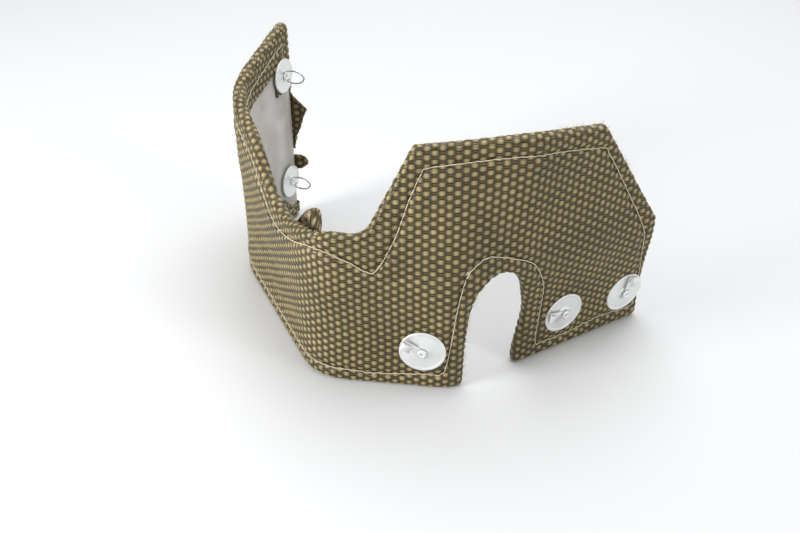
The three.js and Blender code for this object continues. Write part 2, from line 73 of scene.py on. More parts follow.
# %% The flat cloth and its bends
FLAT_LENGTH = 0.477
FAR_HEIGHT = 0.165
SHOULDER_HEIGHT = 0.130
VALLEY_LOW = 0.097
VALLEY_HIGH = 0.110
FLAP_HEIGHT = 0.172
FLAP_LEFT_HEIGHT = 0.167
FLAP_RIGHT_HEIGHT = 0.165
END_HEIGHT = 0.088
SLANT_RUN = 0.054
END_LEAN = 0.005
FLAP_WIDTH = 0.124
SHOULDER_RUN = 0.030
ARCH_LEFT = 0.328
ARCH_WIDTH = 0.040
ARCH_HEIGHT = 0.081
ARCH_BELLY = 0.005
THICKNESS = 0.008
HEM_WIDTH = 0.025
FAR_RAW_LOW = 0.012
FAR_RAW_HIGH = 0.112

# Each bend: place along the cloth, its length, the turn in degrees at the lower edge and at
# the top, and whether the turn grows with the flap's lean or with the height squared
BENDS = [
    (0.080, 0.064, 47.0, 47.0, "lean"),
    (0.231, 0.050, 58.0, 67.0, "lean"),
    (0.319, 0.026, 38.7, 2.0, "height"),
    (0.366, 0.012, 0.0, 27.0, "height"),
]
FRONT_AT = 0.275
FRONT_HEADING = -7.35
FLAP_TWIST = 9.0
FLAP_LEAN = 0.011
LEAN_START = 0.080
LEAN_TOP = FLAP_HEIGHT - 0.007
LEAN_SOFTNESS = 0.15
FRONT_POINT = (-0.03665, -0.10775)


def lean_share(h):
    """Nought below the start of the lean, then a straight rise to one, with a soft corner."""
    q = (h - LEAN_START) / (LEAN_TOP - LEAN_START)
    soft = (q + LEAN_SOFTNESS) ** 2 / (4 * LEAN_SOFTNESS)
    return np.where(q < -LEAN_SOFTNESS, 0, np.where(q > LEAN_SOFTNESS, q, soft))


def soft_step(t):
    """Three t squared less two t cubed, over t plus a half held between nought and one."""
    t = np.clip(t + 0.5, 0, 1)
    return t * t * (3 - 2 * t)


def heading(s, h):
    """The front's own heading, plus each bend's turn times how far it is behind us."""
    lean = lean_share(h)
    angle = FRONT_HEADING + FLAP_TWIST * lean
    for place, length, low, high, grows in BENDS:
        share = lean if grows == "lean" else (h / LEAN_TOP) ** 2
        turn = low + (high - low) * share
        passed = soft_step((s - place) / length) - soft_step((FRONT_AT - place) / length)
        angle = angle + turn * passed
    return np.radians(angle)


# %% [markdown]
# Adding up the heading for every point would be slow, so it is done once on a table with
# one entry for each millimetre. Any point is then read from the table between its entries.

# %% A table of the standing sheet
TABLE_STEP = 0.001
TABLE_S = np.arange(-0.040, 0.520, TABLE_STEP)
TABLE_H = np.arange(-0.030, 0.210, TABLE_STEP)


def standing_table():
    """Running sums of the heading's cosine and sine along s, and the inward normals."""
    s, h = np.meshgrid(TABLE_S, TABLE_H)
    angle = heading(s, h)
    place = np.zeros(s.shape + (3,))
    front = int(round((FRONT_AT - TABLE_S[0]) / TABLE_STEP))
    for axis, part in ((0, np.cos(angle)), (1, np.sin(angle))):
        steps = 0.5 * TABLE_STEP * (part[:, 1:] + part[:, :-1])
        place[:, 1:, axis] = np.cumsum(steps, axis=1)
        place[..., axis] -= place[:, front : front + 1, axis]
    place[..., 0] += FRONT_POINT[0]
    place[..., 1] += FRONT_POINT[1] + FLAP_LEAN * lean_share(h)
    place[..., 2] = h
    along = np.stack([np.cos(angle), np.sin(angle), np.zeros_like(angle)], axis=-1)
    rise = np.gradient(place, axis=0)
    inwards = np.cross(rise, along)
    inwards /= np.linalg.norm(inwards, axis=-1, keepdims=True)
    return np.concatenate([place, inwards], axis=-1)


STANDING = standing_table()
print("table", STANDING.shape)


def bent(s, h, n):
    """The table's place, blended between its four nearest entries, plus n inward normals."""
    column = np.clip((s - TABLE_S[0]) / TABLE_STEP, 0, len(TABLE_S) - 1.001)
    row = np.clip((h - TABLE_H[0]) / TABLE_STEP, 0, len(TABLE_H) - 1.001)
    i = column.astype(int)
    j = row.astype(int)
    u = (column - i)[..., None]
    v = (row - j)[..., None]
    low = STANDING[j, i] * (1 - u) + STANDING[j, i + 1] * u
    high = STANDING[j + 1, i] * (1 - u) + STANDING[j + 1, i + 1] * u
    found = low * (1 - v) + high * v
    return found[..., :3] + np.asarray(n)[..., None] * found[..., 3:]


# %% [markdown]
# The outline of the flat cloth is a polygon with rounded corners and an arch for the pipe.
# The arch is a smooth curve through a few points. All of it goes anticlockwise.

# %% The outline


def smooth_curve(knots, per_span):
    """A Catmull-Rom curve: each span is a cubic through its ends, aimed by its neighbours."""
    knots = np.asarray(knots, float)
    padded = np.vstack([knots[:1], knots, knots[-1:]])
    p0, p1, p2, p3 = padded[:-3], padded[1:-2], padded[2:-1], padded[3:]
    t = np.linspace(0, 1, per_span, endpoint=False)[None, :, None]
    p0, p1, p2, p3 = (p[:, None, :] for p in (p0, p1, p2, p3))
    cubic = (
        2 * p1
        + (p2 - p0) * t
        + (2 * p0 - 5 * p1 + 4 * p2 - p3) * t**2
        + (3 * p1 - p0 - 3 * p2 + p3) * t**3
    )
    return np.vstack([0.5 * cubic.reshape(-1, 2), knots[-1:]])


def arch_curve():
    """The arch's edge, up its left side, over, and down its right side."""
    left = ARCH_LEFT
    right = ARCH_LEFT + ARCH_WIDTH
    knots = [
        (left + 0.0004, 0.010),
        (left + 0.0012, 0.034),
        (left + 0.005, 0.062),
        (left + 0.014, ARCH_HEIGHT - 0.0045),
        (left + 0.025, ARCH_HEIGHT),
        (right - 0.004, ARCH_HEIGHT - 0.007),
        (right + ARCH_BELLY - 0.0015, 0.053),
        (right + ARCH_BELLY, 0.036),
        (right + 0.001, 0.012),
    ]
    return smooth_curve(knots, 6)


def corner_list():
    """Each corner of the flat cloth as (s, h, rounding)."""
    flap_left = FLAT_LENGTH - 0.006 - SLANT_RUN - FLAP_WIDTH
    valley_end = flap_left - SHOULDER_RUN
    arch = [(s, h, 0) for s, h in arch_curve()]
    return [
        (0, 0, 0.006),
        (ARCH_LEFT, 0, 0.005),
        *arch,
        (ARCH_LEFT + ARCH_WIDTH, 0, 0.005),
        (FLAT_LENGTH, 0, 0.006),
        (FLAT_LENGTH - END_LEAN, END_HEIGHT, 0.006),
        (flap_left + FLAP_WIDTH, FLAP_RIGHT_HEIGHT, 0.004),
        (BENDS[3][0], FLAP_HEIGHT, 0.030),
        (flap_left, FLAP_LEFT_HEIGHT, 0.005),
        (valley_end, VALLEY_HIGH, 0.014),
        (valley_end - 0.020, VALLEY_HIGH + 0.001, 0.020),
        (valley_end - 0.080, VALLEY_LOW, 0.030),
        (valley_end - 0.104, VALLEY_LOW + 0.004, 0.020),
        (valley_end - 0.138, SHOULDER_HEIGHT, 0.024),
        (0, FAR_HEIGHT, 0.007),
    ]


def rounded_loop(corners, parts=6):
    """Each corner becomes a parabola that starts and ends on its two sides."""
    place = np.array([(s, h) for s, h, _ in corners])
    back = np.roll(place, 1, axis=0) - place
    on = np.roll(place, -1, axis=0) - place
    back_length = np.linalg.norm(back, axis=1)
    on_length = np.linalg.norm(on, axis=1)
    cosine = np.sum(back * on, axis=1) / (back_length * on_length)
    half = 0.5 * np.arccos(np.clip(cosine, -1, 1))
    radius = np.array([r for _, _, r in corners])
    reach = np.minimum(radius / np.tan(half), 0.45 * np.minimum(back_length, on_length))
    loop = []
    for k, corner in enumerate(place):
        if reach[k] < 0.0005:
            loop.append(corner[None, :])
            continue
        enter = corner + back[k] / back_length[k] * reach[k]
        leave = corner + on[k] / on_length[k] * reach[k]
        t = np.linspace(0, 1, parts + 1)[:, None]
        loop.append((1 - t) ** 2 * enter + 2 * t * (1 - t) * corner + t**2 * leave)
    return np.vstack(loop)


OUTLINE = rounded_loop(corner_list())
print("outline points", len(OUTLINE))

# %% [markdown]
# The cloth is a plain weave of thick flat yarn. Seen from the front, the yarns that run
# along the cloth lie on top in short ovals, set like bricks, and between them the upright
# yarns dip into dark pits. One formula gives the height at any point. The mesh uses it for
# its real relief, and the material repeats it for its colour, so the two always line up.

# %% The weave
FLOAT_PITCH = 0.0046
ROW_PITCH = 0.0027
YARN_SWING = 0.50
FLOAT_LIFT = 0.12
FLOAT_CROWN = 0.34
FLOAT_SPREAD = 0.62
WARP_CROWN = 0.22
WARP_SINK = 0.46
RELIEF = 0.0010


def weave_height(s, h):
    """The highest of three yarns: the row's own, the nearest row's, whose wide back laps
    over, and the upright one. Each swings as a cosine over its cell, up and then down."""
    a = s / FLOAT_PITCH
    b = h / ROW_PITCH
    fa = a - np.floor(a) - 0.5
    fb = b - np.floor(b) - 0.5
    side = 1 - 2 * np.mod(np.floor(a) + np.floor(b), 2)
    swing = YARN_SWING * side * np.cos(math.pi * fa)
    own = np.clip(1 - (fb / FLOAT_SPREAD) ** 2, 0, 1)
    lap = 1 - ((1 - np.abs(fb)) / FLOAT_SPREAD) ** 2
    weft = swing + FLOAT_LIFT + FLOAT_CROWN * np.sqrt(own)
    near = -swing + FLOAT_LIFT + FLOAT_CROWN * np.sqrt(np.clip(lap, 0, 1))
    near = np.where(lap > 0, near, -1)
    upright = np.sqrt(np.clip(1 - (2.2 * fa) ** 2, 0, 1))
    warp = -YARN_SWING * side * np.cos(math.pi * fb) + WARP_CROWN * upright - WARP_SINK
    return np.maximum(np.maximum(weft, near), warp)


def soft_hash(x, y, seed):
    """A value between minus one and one that is the same for the same place each time."""
    wave = np.sin(x * 127.1 + y * 311.7 + seed * 74.7) * 43758.5453
    return 2 * (wave - np.floor(wave)) - 1


def soft_noise(x, y, seed):
    """Random values on a square grid, blended smoothly between the grid's corners."""
    i = np.floor(x)
    j = np.floor(y)
    u = x - i
    v = y - j
    u = u * u * (3 - 2 * u)
    v = v * v * (3 - 2 * v)
    low = soft_hash(i, j, seed) * (1 - u) + soft_hash(i + 1, j, seed) * u
    high = soft_hash(i, j + 1, seed) * (1 - u) + soft_hash(i + 1, j + 1, seed) * u
    return low * (1 - v) + high * v


# %% [markdown]
# Hand-laid yarn is never quite even. The rows wander a little, and that is put into the
# cloth's own coordinates, so that the relief and the colour wander together.

# %% The cloth's own coordinates
WANDER = 0.0005
WANDER_SIZE = 0.035


def cloth_coordinates(s, h):
    """The flat place, shifted by a soft noise of half a millimetre."""
    ds = WANDER * soft_noise(s / WANDER_SIZE, h / WANDER_SIZE, 1)
    dh = WANDER * soft_noise(s / WANDER_SIZE, h / WANDER_SIZE, 2)
    return s + ds, h + dh


def relief(s, h):
    """How far the cloth stands out from its mean surface, in metres."""
    mean = 0.45
    return RELIEF * (weave_height(s, h) - mean)


# %% [markdown]
# Each strip of cloth is a fine grid over the flat pattern. Grid points outside the strip's
# outline are drawn back onto it, so that the edge is smooth and the inside stays square.
# This needs the distance from any point to the outline.

# %% Distance to a line


def nearest_on_line(points, line, closed):
    """For each point the closest point on a chain of straight pieces, and its distance."""
    start = line if closed else line[:-1]
    end = np.roll(line, -1, axis=0) if closed else line[1:]
    run = end - start
    length_squared = np.maximum(np.sum(run * run, axis=1), 1e-18)
    foot = np.empty_like(points)
    distance = np.empty(len(points))
    chunk = 20000
    for first in range(0, len(points), chunk):
        part = points[first : first + chunk]
        offset = part[:, None, :] - start[None, :, :]
        share = np.clip(np.sum(offset * run, axis=2) / length_squared, 0, 1)
        gap = offset - share[..., None] * run
        squared = np.sum(gap * gap, axis=2)
        best = np.argmin(squared, axis=1)
        rows = np.arange(len(part))
        foot[first : first + chunk] = part - gap[rows, best]
        distance[first : first + chunk] = np.sqrt(squared[rows, best])
    return foot, distance


def inside_loop(points, loop):
    """A point is inside if a ray from it crosses the loop an odd number of times."""
    crossings = np.zeros(len(points), int)
    for (s0, h0), (s1, h1) in zip(loop, np.roll(loop, -1, axis=0)):
        if h0 == h1:
            continue
        spans = (points[:, 1] >= min(h0, h1)) & (points[:, 1] < max(h0, h1))
        reach = s0 + (points[:, 1] - h0) / (h1 - h0) * (s1 - s0)
        crossings += spans & (points[:, 0] < reach)
    return crossings % 2 == 1


def inset_from(points, loop):
    """Distance inwards from the loop, less than nought outside, and the way inwards."""
    foot, distance = nearest_on_line(points, loop, closed=True)
    sign = np.where(inside_loop(points, loop), 1.0, -1.0)
    way = (points - foot) * sign[:, None]
    way /= np.maximum(np.linalg.norm(way, axis=1), 1e-9)[:, None]
    return distance * sign, foot, way


# %% Putting grids into meshes


def mesh_from(name, places, faces, cloth=None):
    """Fills a new mesh by whole arrays, with the cloth's coordinates as its UV map."""
    mesh = bpy.data.meshes.new(name)
    mesh.vertices.add(len(places))
    mesh.vertices.foreach_set("co", np.ascontiguousarray(places, np.float32).ravel())
    sides = faces.shape[1]
    mesh.loops.add(faces.size)
    mesh.polygons.add(len(faces))
    mesh.loops.foreach_set("vertex_index", faces.astype(np.int32).ravel())
    mesh.polygons.foreach_set("loop_start", np.arange(0, faces.size, sides, dtype=np.int32))
    mesh.polygons.foreach_set("use_smooth", np.ones(len(faces), bool))
    mesh.update(calc_edges=True)
    if cloth is not None:
        layer = mesh.uv_layers.new(name="cloth")
        layer.data.foreach_set("uv", cloth[faces.ravel()].astype(np.float32).ravel())
    piece = bpy.data.objects.new(name, mesh)
    bpy.context.scene.collection.objects.link(piece)
    return piece


def grid_faces(rows, columns, close_rows=False, close_columns=False):
    """The four corners of each cell of a grid that is stored row after row."""
    index = np.arange(rows * columns).reshape(rows, columns)
    if close_rows:
        index = np.vstack([index, index[:1]])
    if close_columns:
        index = np.hstack([index, index[:, :1]])
    a, b = index[:-1, :-1], index[:-1, 1:]
    c, d = index[1:, 1:], index[1:, :-1]
    return np.stack([a.ravel(), b.ravel(), c.ravel(), d.ravel()], axis=1)


def finish_piece(piece, material):
    """Gives a finished piece its material and its place on the body."""
    piece.data.materials.clear()
    piece.data.materials.append(material)
    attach(piece, "root")
    print(piece.name, "faces", len(piece.data.polygons))
    return piece


# %% [markdown]
# Two more things shape the cover. The thread that holds the hem draws the layers together
# in a groove, and the cloth swells softly between the groove and the edge. Beyond that the
# face has a few broad hollows, because it is stuffed by hand. The thread's line is a smooth
# curve through points about 10 to 14 mm inside the edge.

# %% The stitch line
STITCH_KNOTS = [
    (0.012, 0.011), (0.060, 0.010), (0.140, 0.010), (0.2485, 0.0101), (0.2636, 0.0087),
    (0.279, 0.0097), (0.300, 0.0116), (0.3125, 0.0125), (0.3165, 0.026), (0.3213, 0.0627),
    (0.3252, 0.081), (0.3282, 0.0879), (0.3338, 0.0927), (0.3416, 0.0954), (0.358, 0.0909),
    (0.374, 0.0822), (0.3831, 0.0652), (0.385, 0.0551), (0.3852, 0.0351), (0.3850, 0.0125),
    (0.3900, 0.0101), (0.4113, 0.0099), (0.4421, 0.0125), (0.4680, 0.0105), (0.4710, 0.0180),
    (0.4708, 0.0359), (0.4651, 0.0673), (0.4604, 0.0838), (0.4417, 0.1145), (0.4218, 0.1443),
    (0.4134, 0.1514), (0.3708, 0.1581), (0.3439, 0.1579), (0.3179, 0.1560), (0.3010, 0.1538),
    (0.2975, 0.1500), (0.2911, 0.1352), (0.2823, 0.1097), (0.2715, 0.0890), (0.2660, 0.0868),
    (0.2510, 0.0945), (0.2370, 0.0985), (0.2220, 0.0975), (0.2020, 0.0900), (0.1800, 0.0845),
    (0.1620, 0.0860), (0.1480, 0.0950), (0.1250, 0.1130), (0.0900, 0.1240), (0.0500, 0.1370),
    (0.0160, 0.1480), (0.0120, 0.1420), (0.0115, 0.0700), (0.012, 0.011),
]
STITCH_LINE = smooth_curve(STITCH_KNOTS, 5)
print("stitch line points", len(STITCH_LINE))

# %% The face's soft shape
GROOVE_DEPTH = 0.0011
GROOVE_WIDTH = 0.0021
SWELL = 0.0005
SWELL_GAP = 0.006
SWELL_WIDTH = 0.0035
SWELL_FADE = 0.004
HOLLOW = 0.0008
HOLLOW_LENGTH = 0.03
HOLLOW_HEIGHT = 0.024
HOLLOW_FADE = 0.02
EDGE_ROUND = 0.0034
CREASE_DEPTH = 0.0011
CREASE_WIDTH = 0.004
CREASE_MIDDLE = 0.300
CREASE_REACH = 0.035
CREASE_HEIGHT = 0.0835
CREASE_WAVE = 0.004


def stitch_groove(stitch_gap):
    """The groove's depth falls off as a bell curve of the distance from the thread."""
    return GROOVE_DEPTH * np.exp(-((stitch_gap / GROOVE_WIDTH) ** 2))


def face_depth(s, h, stitch_gap, inset):
    """How far the face lies inwards: the thread's groove, less the swell of the hem beside
    it, plus broad soft hollows and a crease under the flap. All but the groove fade out
    towards the edge, where the roll takes over."""
    fade = np.clip((inset - EDGE_ROUND) / SWELL_FADE, 0, 1)
    swell = SWELL * fade * np.exp(-(((stitch_gap - SWELL_GAP) / SWELL_WIDTH) ** 2))
    broad = HOLLOW * soft_noise(s / HOLLOW_LENGTH, h / HOLLOW_HEIGHT, 5)
    broad = broad * np.clip((inset - EDGE_ROUND) / HOLLOW_FADE, 0, 1)
    line = h - CREASE_HEIGHT - CREASE_WAVE * np.sin((s - 0.28) / 0.02)
    reach = np.exp(-(((s - CREASE_MIDDLE) / CREASE_REACH) ** 4))
    crease = CREASE_DEPTH * fade * reach * np.exp(-((line / CREASE_WIDTH) ** 2))
    return stitch_groove(stitch_gap) - swell + broad + crease


# %% [markdown]
# The outer face is the largest piece. Its grid is fine enough to give each oval of the
# weave about five points along and four up, so the yarns catch the light as solid
# shapes. The rolled edge and the turned hem are separate grids on the same formulas.

# %% The outer face
FACE_STEP_S = 0.00093
FACE_STEP_H = 0.00069
EDGE_ALLOW = 0.0004


def snapped_grid(step_s, step_h, low, high=None):
    """Grid cells whose inset lies between low and high, with stray corners drawn in."""
    s = np.arange(-0.004, FLAT_LENGTH + 0.005, step_s)
    h = np.arange(-0.003, FLAP_HEIGHT + 0.004, step_h)
    points = np.stack(np.meshgrid(s, h), axis=-1).reshape(-1, 2)
    inset, foot, way = inset_from(points, OUTLINE)
    wanted = inset > low
    if high is not None:
        wanted &= inset < high
    cells = grid_faces(len(h), len(s))
    cells = cells[wanted[cells].any(axis=1)]
    short = inset < low
    points[short] = foot[short] + way[short] * low
    inset[short] = low
    if high is not None:
        long = inset > high
        points[long] = foot[long] + way[long] * high
        inset[long] = high
    used, cells = np.unique(cells, return_inverse=True)
    return points[used], inset[used], foot[used], way[used], cells.reshape(-1, 4)


def outer_face():
    """n is minus the weave's relief, plus the face's soft depth."""
    points, inset, _, _, cells = snapped_grid(FACE_STEP_S, FACE_STEP_H, EDGE_ROUND)
    _, stitch_gap = nearest_on_line(points, STITCH_LINE, closed=False)
    s, h = points.T
    cloth_s, cloth_h = cloth_coordinates(s, h)
    depth = face_depth(s, h, stitch_gap, inset) - relief(cloth_s, cloth_h)
    places = bent(s, h, depth)
    return mesh_from("cover_face", places, cells, np.stack([cloth_s, cloth_h], axis=1))


cover_face = outer_face()

# %% [markdown]
# The rolled edge is a half-round profile carried along the outline. It begins just under
# the outer face and ends just under the hem. The yarns run on round it, because the
# cloth's coordinates go on outwards by the length of the roll.

# %% The rolled edge
EDGE_STEP = 0.0011
EDGE_PARTS = 15
TUCK = 0.0006
TUCK_TURN = 0.16
ROLL_CLOTH = 2.2


def far_raw(s, h):
    """True along the stretch of the far end where the hem was never turned in."""
    return (s < 0.002) & (h > FAR_RAW_LOW) & (h < FAR_RAW_HIGH)


def resampled(loop, step):
    """Evenly spaced points along a closed loop, with the way inwards at each."""
    closed = np.vstack([loop, loop[:1]])
    reach = np.concatenate([[0], np.cumsum(np.linalg.norm(np.diff(closed, axis=0), axis=1))])
    count = int(reach[-1] / step)
    at = np.linspace(0, reach[-1], count, endpoint=False)
    points = np.stack([np.interp(at, reach, closed[:, k]) for k in (0, 1)], axis=1)
    along = np.roll(points, -2, axis=0) - np.roll(points, 2, axis=0)
    along /= np.linalg.norm(along, axis=1, keepdims=True)
    return points, np.stack([-along[:, 1], along[:, 0]], axis=1), at


def rolled_edge():
    """Over the half turn p, the inset is the rounding times one less sine p, and n is half
    the thickness times one less cosine p. The relief stands out along the roll's normal."""
    points, way, _ = resampled(OUTLINE, EDGE_STEP)
    p = np.linspace(-TUCK_TURN, math.pi + TUCK_TURN, EDGE_PARTS)[None, :]
    turn = np.clip(p, 0, math.pi)
    tucked = np.abs(p - turn) / TUCK_TURN
    inset = EDGE_ROUND * (1 - np.sin(turn)) + EDGE_ALLOW * np.sin(turn) + TUCK * tucked
    depth = 0.5 * THICKNESS * (1 - np.cos(turn))
    roll = 0.5 * EDGE_ROUND * turn * ROLL_CLOTH
    flat_s = points[:, :1] + way[:, :1] * (EDGE_ROUND - roll)
    flat_h = points[:, 1:] + way[:, 1:] * (EDGE_ROUND - roll)
    cloth_s, cloth_h = cloth_coordinates(flat_s, flat_h)
    stand = relief(cloth_s, cloth_h) * (1 - tucked)
    inset = inset - np.sin(turn) * stand
    depth = depth - np.cos(turn) * stand + TUCK * tucked * np.sign(math.pi / 2 - p)
    s = points[:, :1] + way[:, :1] * inset
    h = points[:, 1:] + way[:, 1:] * inset
    places = bent(s, h, depth).reshape(-1, 3)
    faces = grid_faces(len(points), EDGE_PARTS, close_rows=True)
    raw = far_raw(points[:, 0], points[:, 1])
    row, column = np.divmod(faces[:, 0], EDGE_PARTS)
    faces = faces[~(raw[row] & (column >= EDGE_PARTS // 2))]
    cloth = np.stack([cloth_s.ravel(), cloth_h.ravel()], axis=1)
    return mesh_from("rolled_edge", places, faces, cloth)


edge_roll = rolled_edge()

# %% [markdown]
# Inside, the cloth is turned back over the liner in a band, except along the far end, where
# it was left raw. It lies a little unevenly, and a Solidify modifier gives it the cloth's
# thickness, so that its cut edge shows as one.

# %% The turned hem
HEM_CLOTH = 0.0012
HEM_UNEVEN = 0.0004
HEM_STEP_S = 0.0013
HEM_STEP_H = 0.0009


def turned_hem():
    """The same face on the other side: n is the thickness plus the relief, and the cloth's
    coordinates are mirrored in the edge, as they are on folded cloth."""
    low, high = EDGE_ROUND, HEM_WIDTH
    points, inset, foot, way, cells = snapped_grid(HEM_STEP_S, HEM_STEP_H, low, high)
    _, stitch_gap = nearest_on_line(points, STITCH_LINE, closed=False)
    raw = far_raw(foot[:, 0], points[:, 1])
    cells = cells[~raw[cells].any(axis=1)]
    s, h = points.T
    mirrored = foot - way * (inset + ROLL_CLOTH * EDGE_ROUND)[:, None]
    cloth_s, cloth_h = cloth_coordinates(mirrored[:, 0], mirrored[:, 1])
    uneven = HEM_UNEVEN * soft_noise(s / 0.018, h / 0.018, 8)
    depth = THICKNESS + relief(cloth_s, cloth_h) - 0.8 * stitch_groove(stitch_gap) + uneven
    places = bent(s, h, depth)
    cloth = np.stack([cloth_s, cloth_h], axis=1)
    return mesh_from("turned_hem", places, cells[:, ::-1], cloth)


hem_band = turned_hem()
solid = hem_band.modifiers.new("cloth", "SOLIDIFY")
solid.thickness = HEM_CLOTH
solid.offset = -1

# %% [markdown]
# The liner is a fine pale cloth that shows inside the hem. It is soft and a little loose,
# so it has long shallow wrinkles that run up from the lower edge.

# %% The liner
LINER_DEPTH = 0.0060
LINER_STEP = 0.0022
LINER_PUFF = 0.0008


def liner():
    """n is the liner's depth plus wrinkles that are long upwards and narrow along."""
    points, inset, _, _, cells = snapped_grid(LINER_STEP, LINER_STEP, 0.0026)
    s, h = points.T
    long_fold = soft_noise(s / 0.014 + 0.6 * soft_noise(s / 0.05, h / 0.05, 11), h / 0.07, 12)
    small = soft_noise(s / 0.009, h / 0.013, 13)
    free = np.clip((inset - 0.018) / 0.012, 0, 1)
    depth = LINER_DEPTH + LINER_PUFF * free * (0.6 + 0.7 * long_fold + 0.3 * small)
    places = bent(s, h, depth)
    return mesh_from("liner_cloth", places, cells[:, ::-1], points)


liner_cloth = liner()

# %% [markdown]
# Effects that more than one finish uses are node groups. The weave group repeats the
# weave's formula from the cloth's coordinates, and gives the height, which yarn is on top,
# the fine lines of its filaments and a random shade for each oval.

# %% Small helpers for node trees


def new_group(name, inputs, outputs):
    """A shader node group with float or vector sockets, and its two end nodes."""
    tree = bpy.data.node_groups.new(name, "ShaderNodeTree")
    for label, kind, value in inputs:
        made = tree.interface.new_socket(label, in_out="INPUT", socket_type=kind)
        if value is not None:
            made.default_value = value
    for label, kind in outputs:
        tree.interface.new_socket(label, in_out="OUTPUT", socket_type=kind)
    return tree, tree.nodes.new("NodeGroupInput"), tree.nodes.new("NodeGroupOutput")


def calc(tree, operation, *values):
    """A Math node. Each value is a number or another node's output."""
    node = tree.nodes.new("ShaderNodeMath")
    node.operation = operation
    for k, value in enumerate(values):
        if isinstance(value, (int, float)):
            node.inputs[k].default_value = value
        else:
            tree.links.new(value, node.inputs[k])
    return node.outputs[0]


def vector_of(tree, x, y, z=0.0):
    """A Combine XYZ node."""
    node = tree.nodes.new("ShaderNodeCombineXYZ")
    for socket, value in zip(node.inputs, (x, y, z)):
        if isinstance(value, (int, float)):
            socket.default_value = value
        else:
            tree.links.new(value, socket)
    return node.outputs[0]


def noise_of(tree, vector, scale, detail=2.0, roughness=0.5):
    """A Noise Texture's value."""
    node = tree.nodes.new("ShaderNodeTexNoise")
    node.inputs["Scale"].default_value = scale
    node.inputs["Detail"].default_value = detail
    node.inputs["Roughness"].default_value = roughness
    tree.links.new(vector, node.inputs["Vector"])
    return node.outputs[0]


def ramp_of(tree, value, stops):
    """A Color Ramp through (place, colour) stops."""
    node = tree.nodes.new("ShaderNodeValToRGB")
    ramp = node.color_ramp
    while len(ramp.elements) < len(stops):
        ramp.elements.new(0.5)
    for element, (place, colour) in zip(ramp.elements, stops):
        element.position = place
        element.color = (*colour, 1)
    tree.links.new(value, node.inputs[0])
    return node.outputs[0]


def bump_into(tree, shader, height, strength, distance):
    """A Bump node from a height into the shader's normal."""
    bump = tree.nodes.new("ShaderNodeBump")
    bump.inputs["Strength"].default_value = strength
    bump.inputs["Distance"].default_value = distance
    tree.links.new(height, bump.inputs["Height"])
    tree.links.new(bump.outputs[0], shader.inputs["Normal"])


def seen_directly(tree):
    """One for camera, glossy and transmission rays, and nought for the light's own."""
    path = tree.nodes.new("ShaderNodeLightPath")
    seen = calc(tree, "MAXIMUM", path.outputs["Is Camera Ray"], path.outputs["Is Glossy Ray"])
    return calc(tree, "MAXIMUM", seen, path.outputs["Is Transmission Ray"])


def mix_of(tree, share, first, second, blend="MIX"):
    """A Mix node for colours."""
    node = tree.nodes.new("ShaderNodeMix")
    node.data_type = "RGBA"
    node.blend_type = blend
    for socket, value in ((node.inputs[0], share), (node.inputs[6], first), (node.inputs[7], second)):
        if isinstance(value, (int, float)):
            socket.default_value = value
        elif isinstance(value, tuple):
            socket.default_value = (*value, 1)
        else:
            tree.links.new(value, socket)
    return node.outputs[2]


# %% The weave as a node group


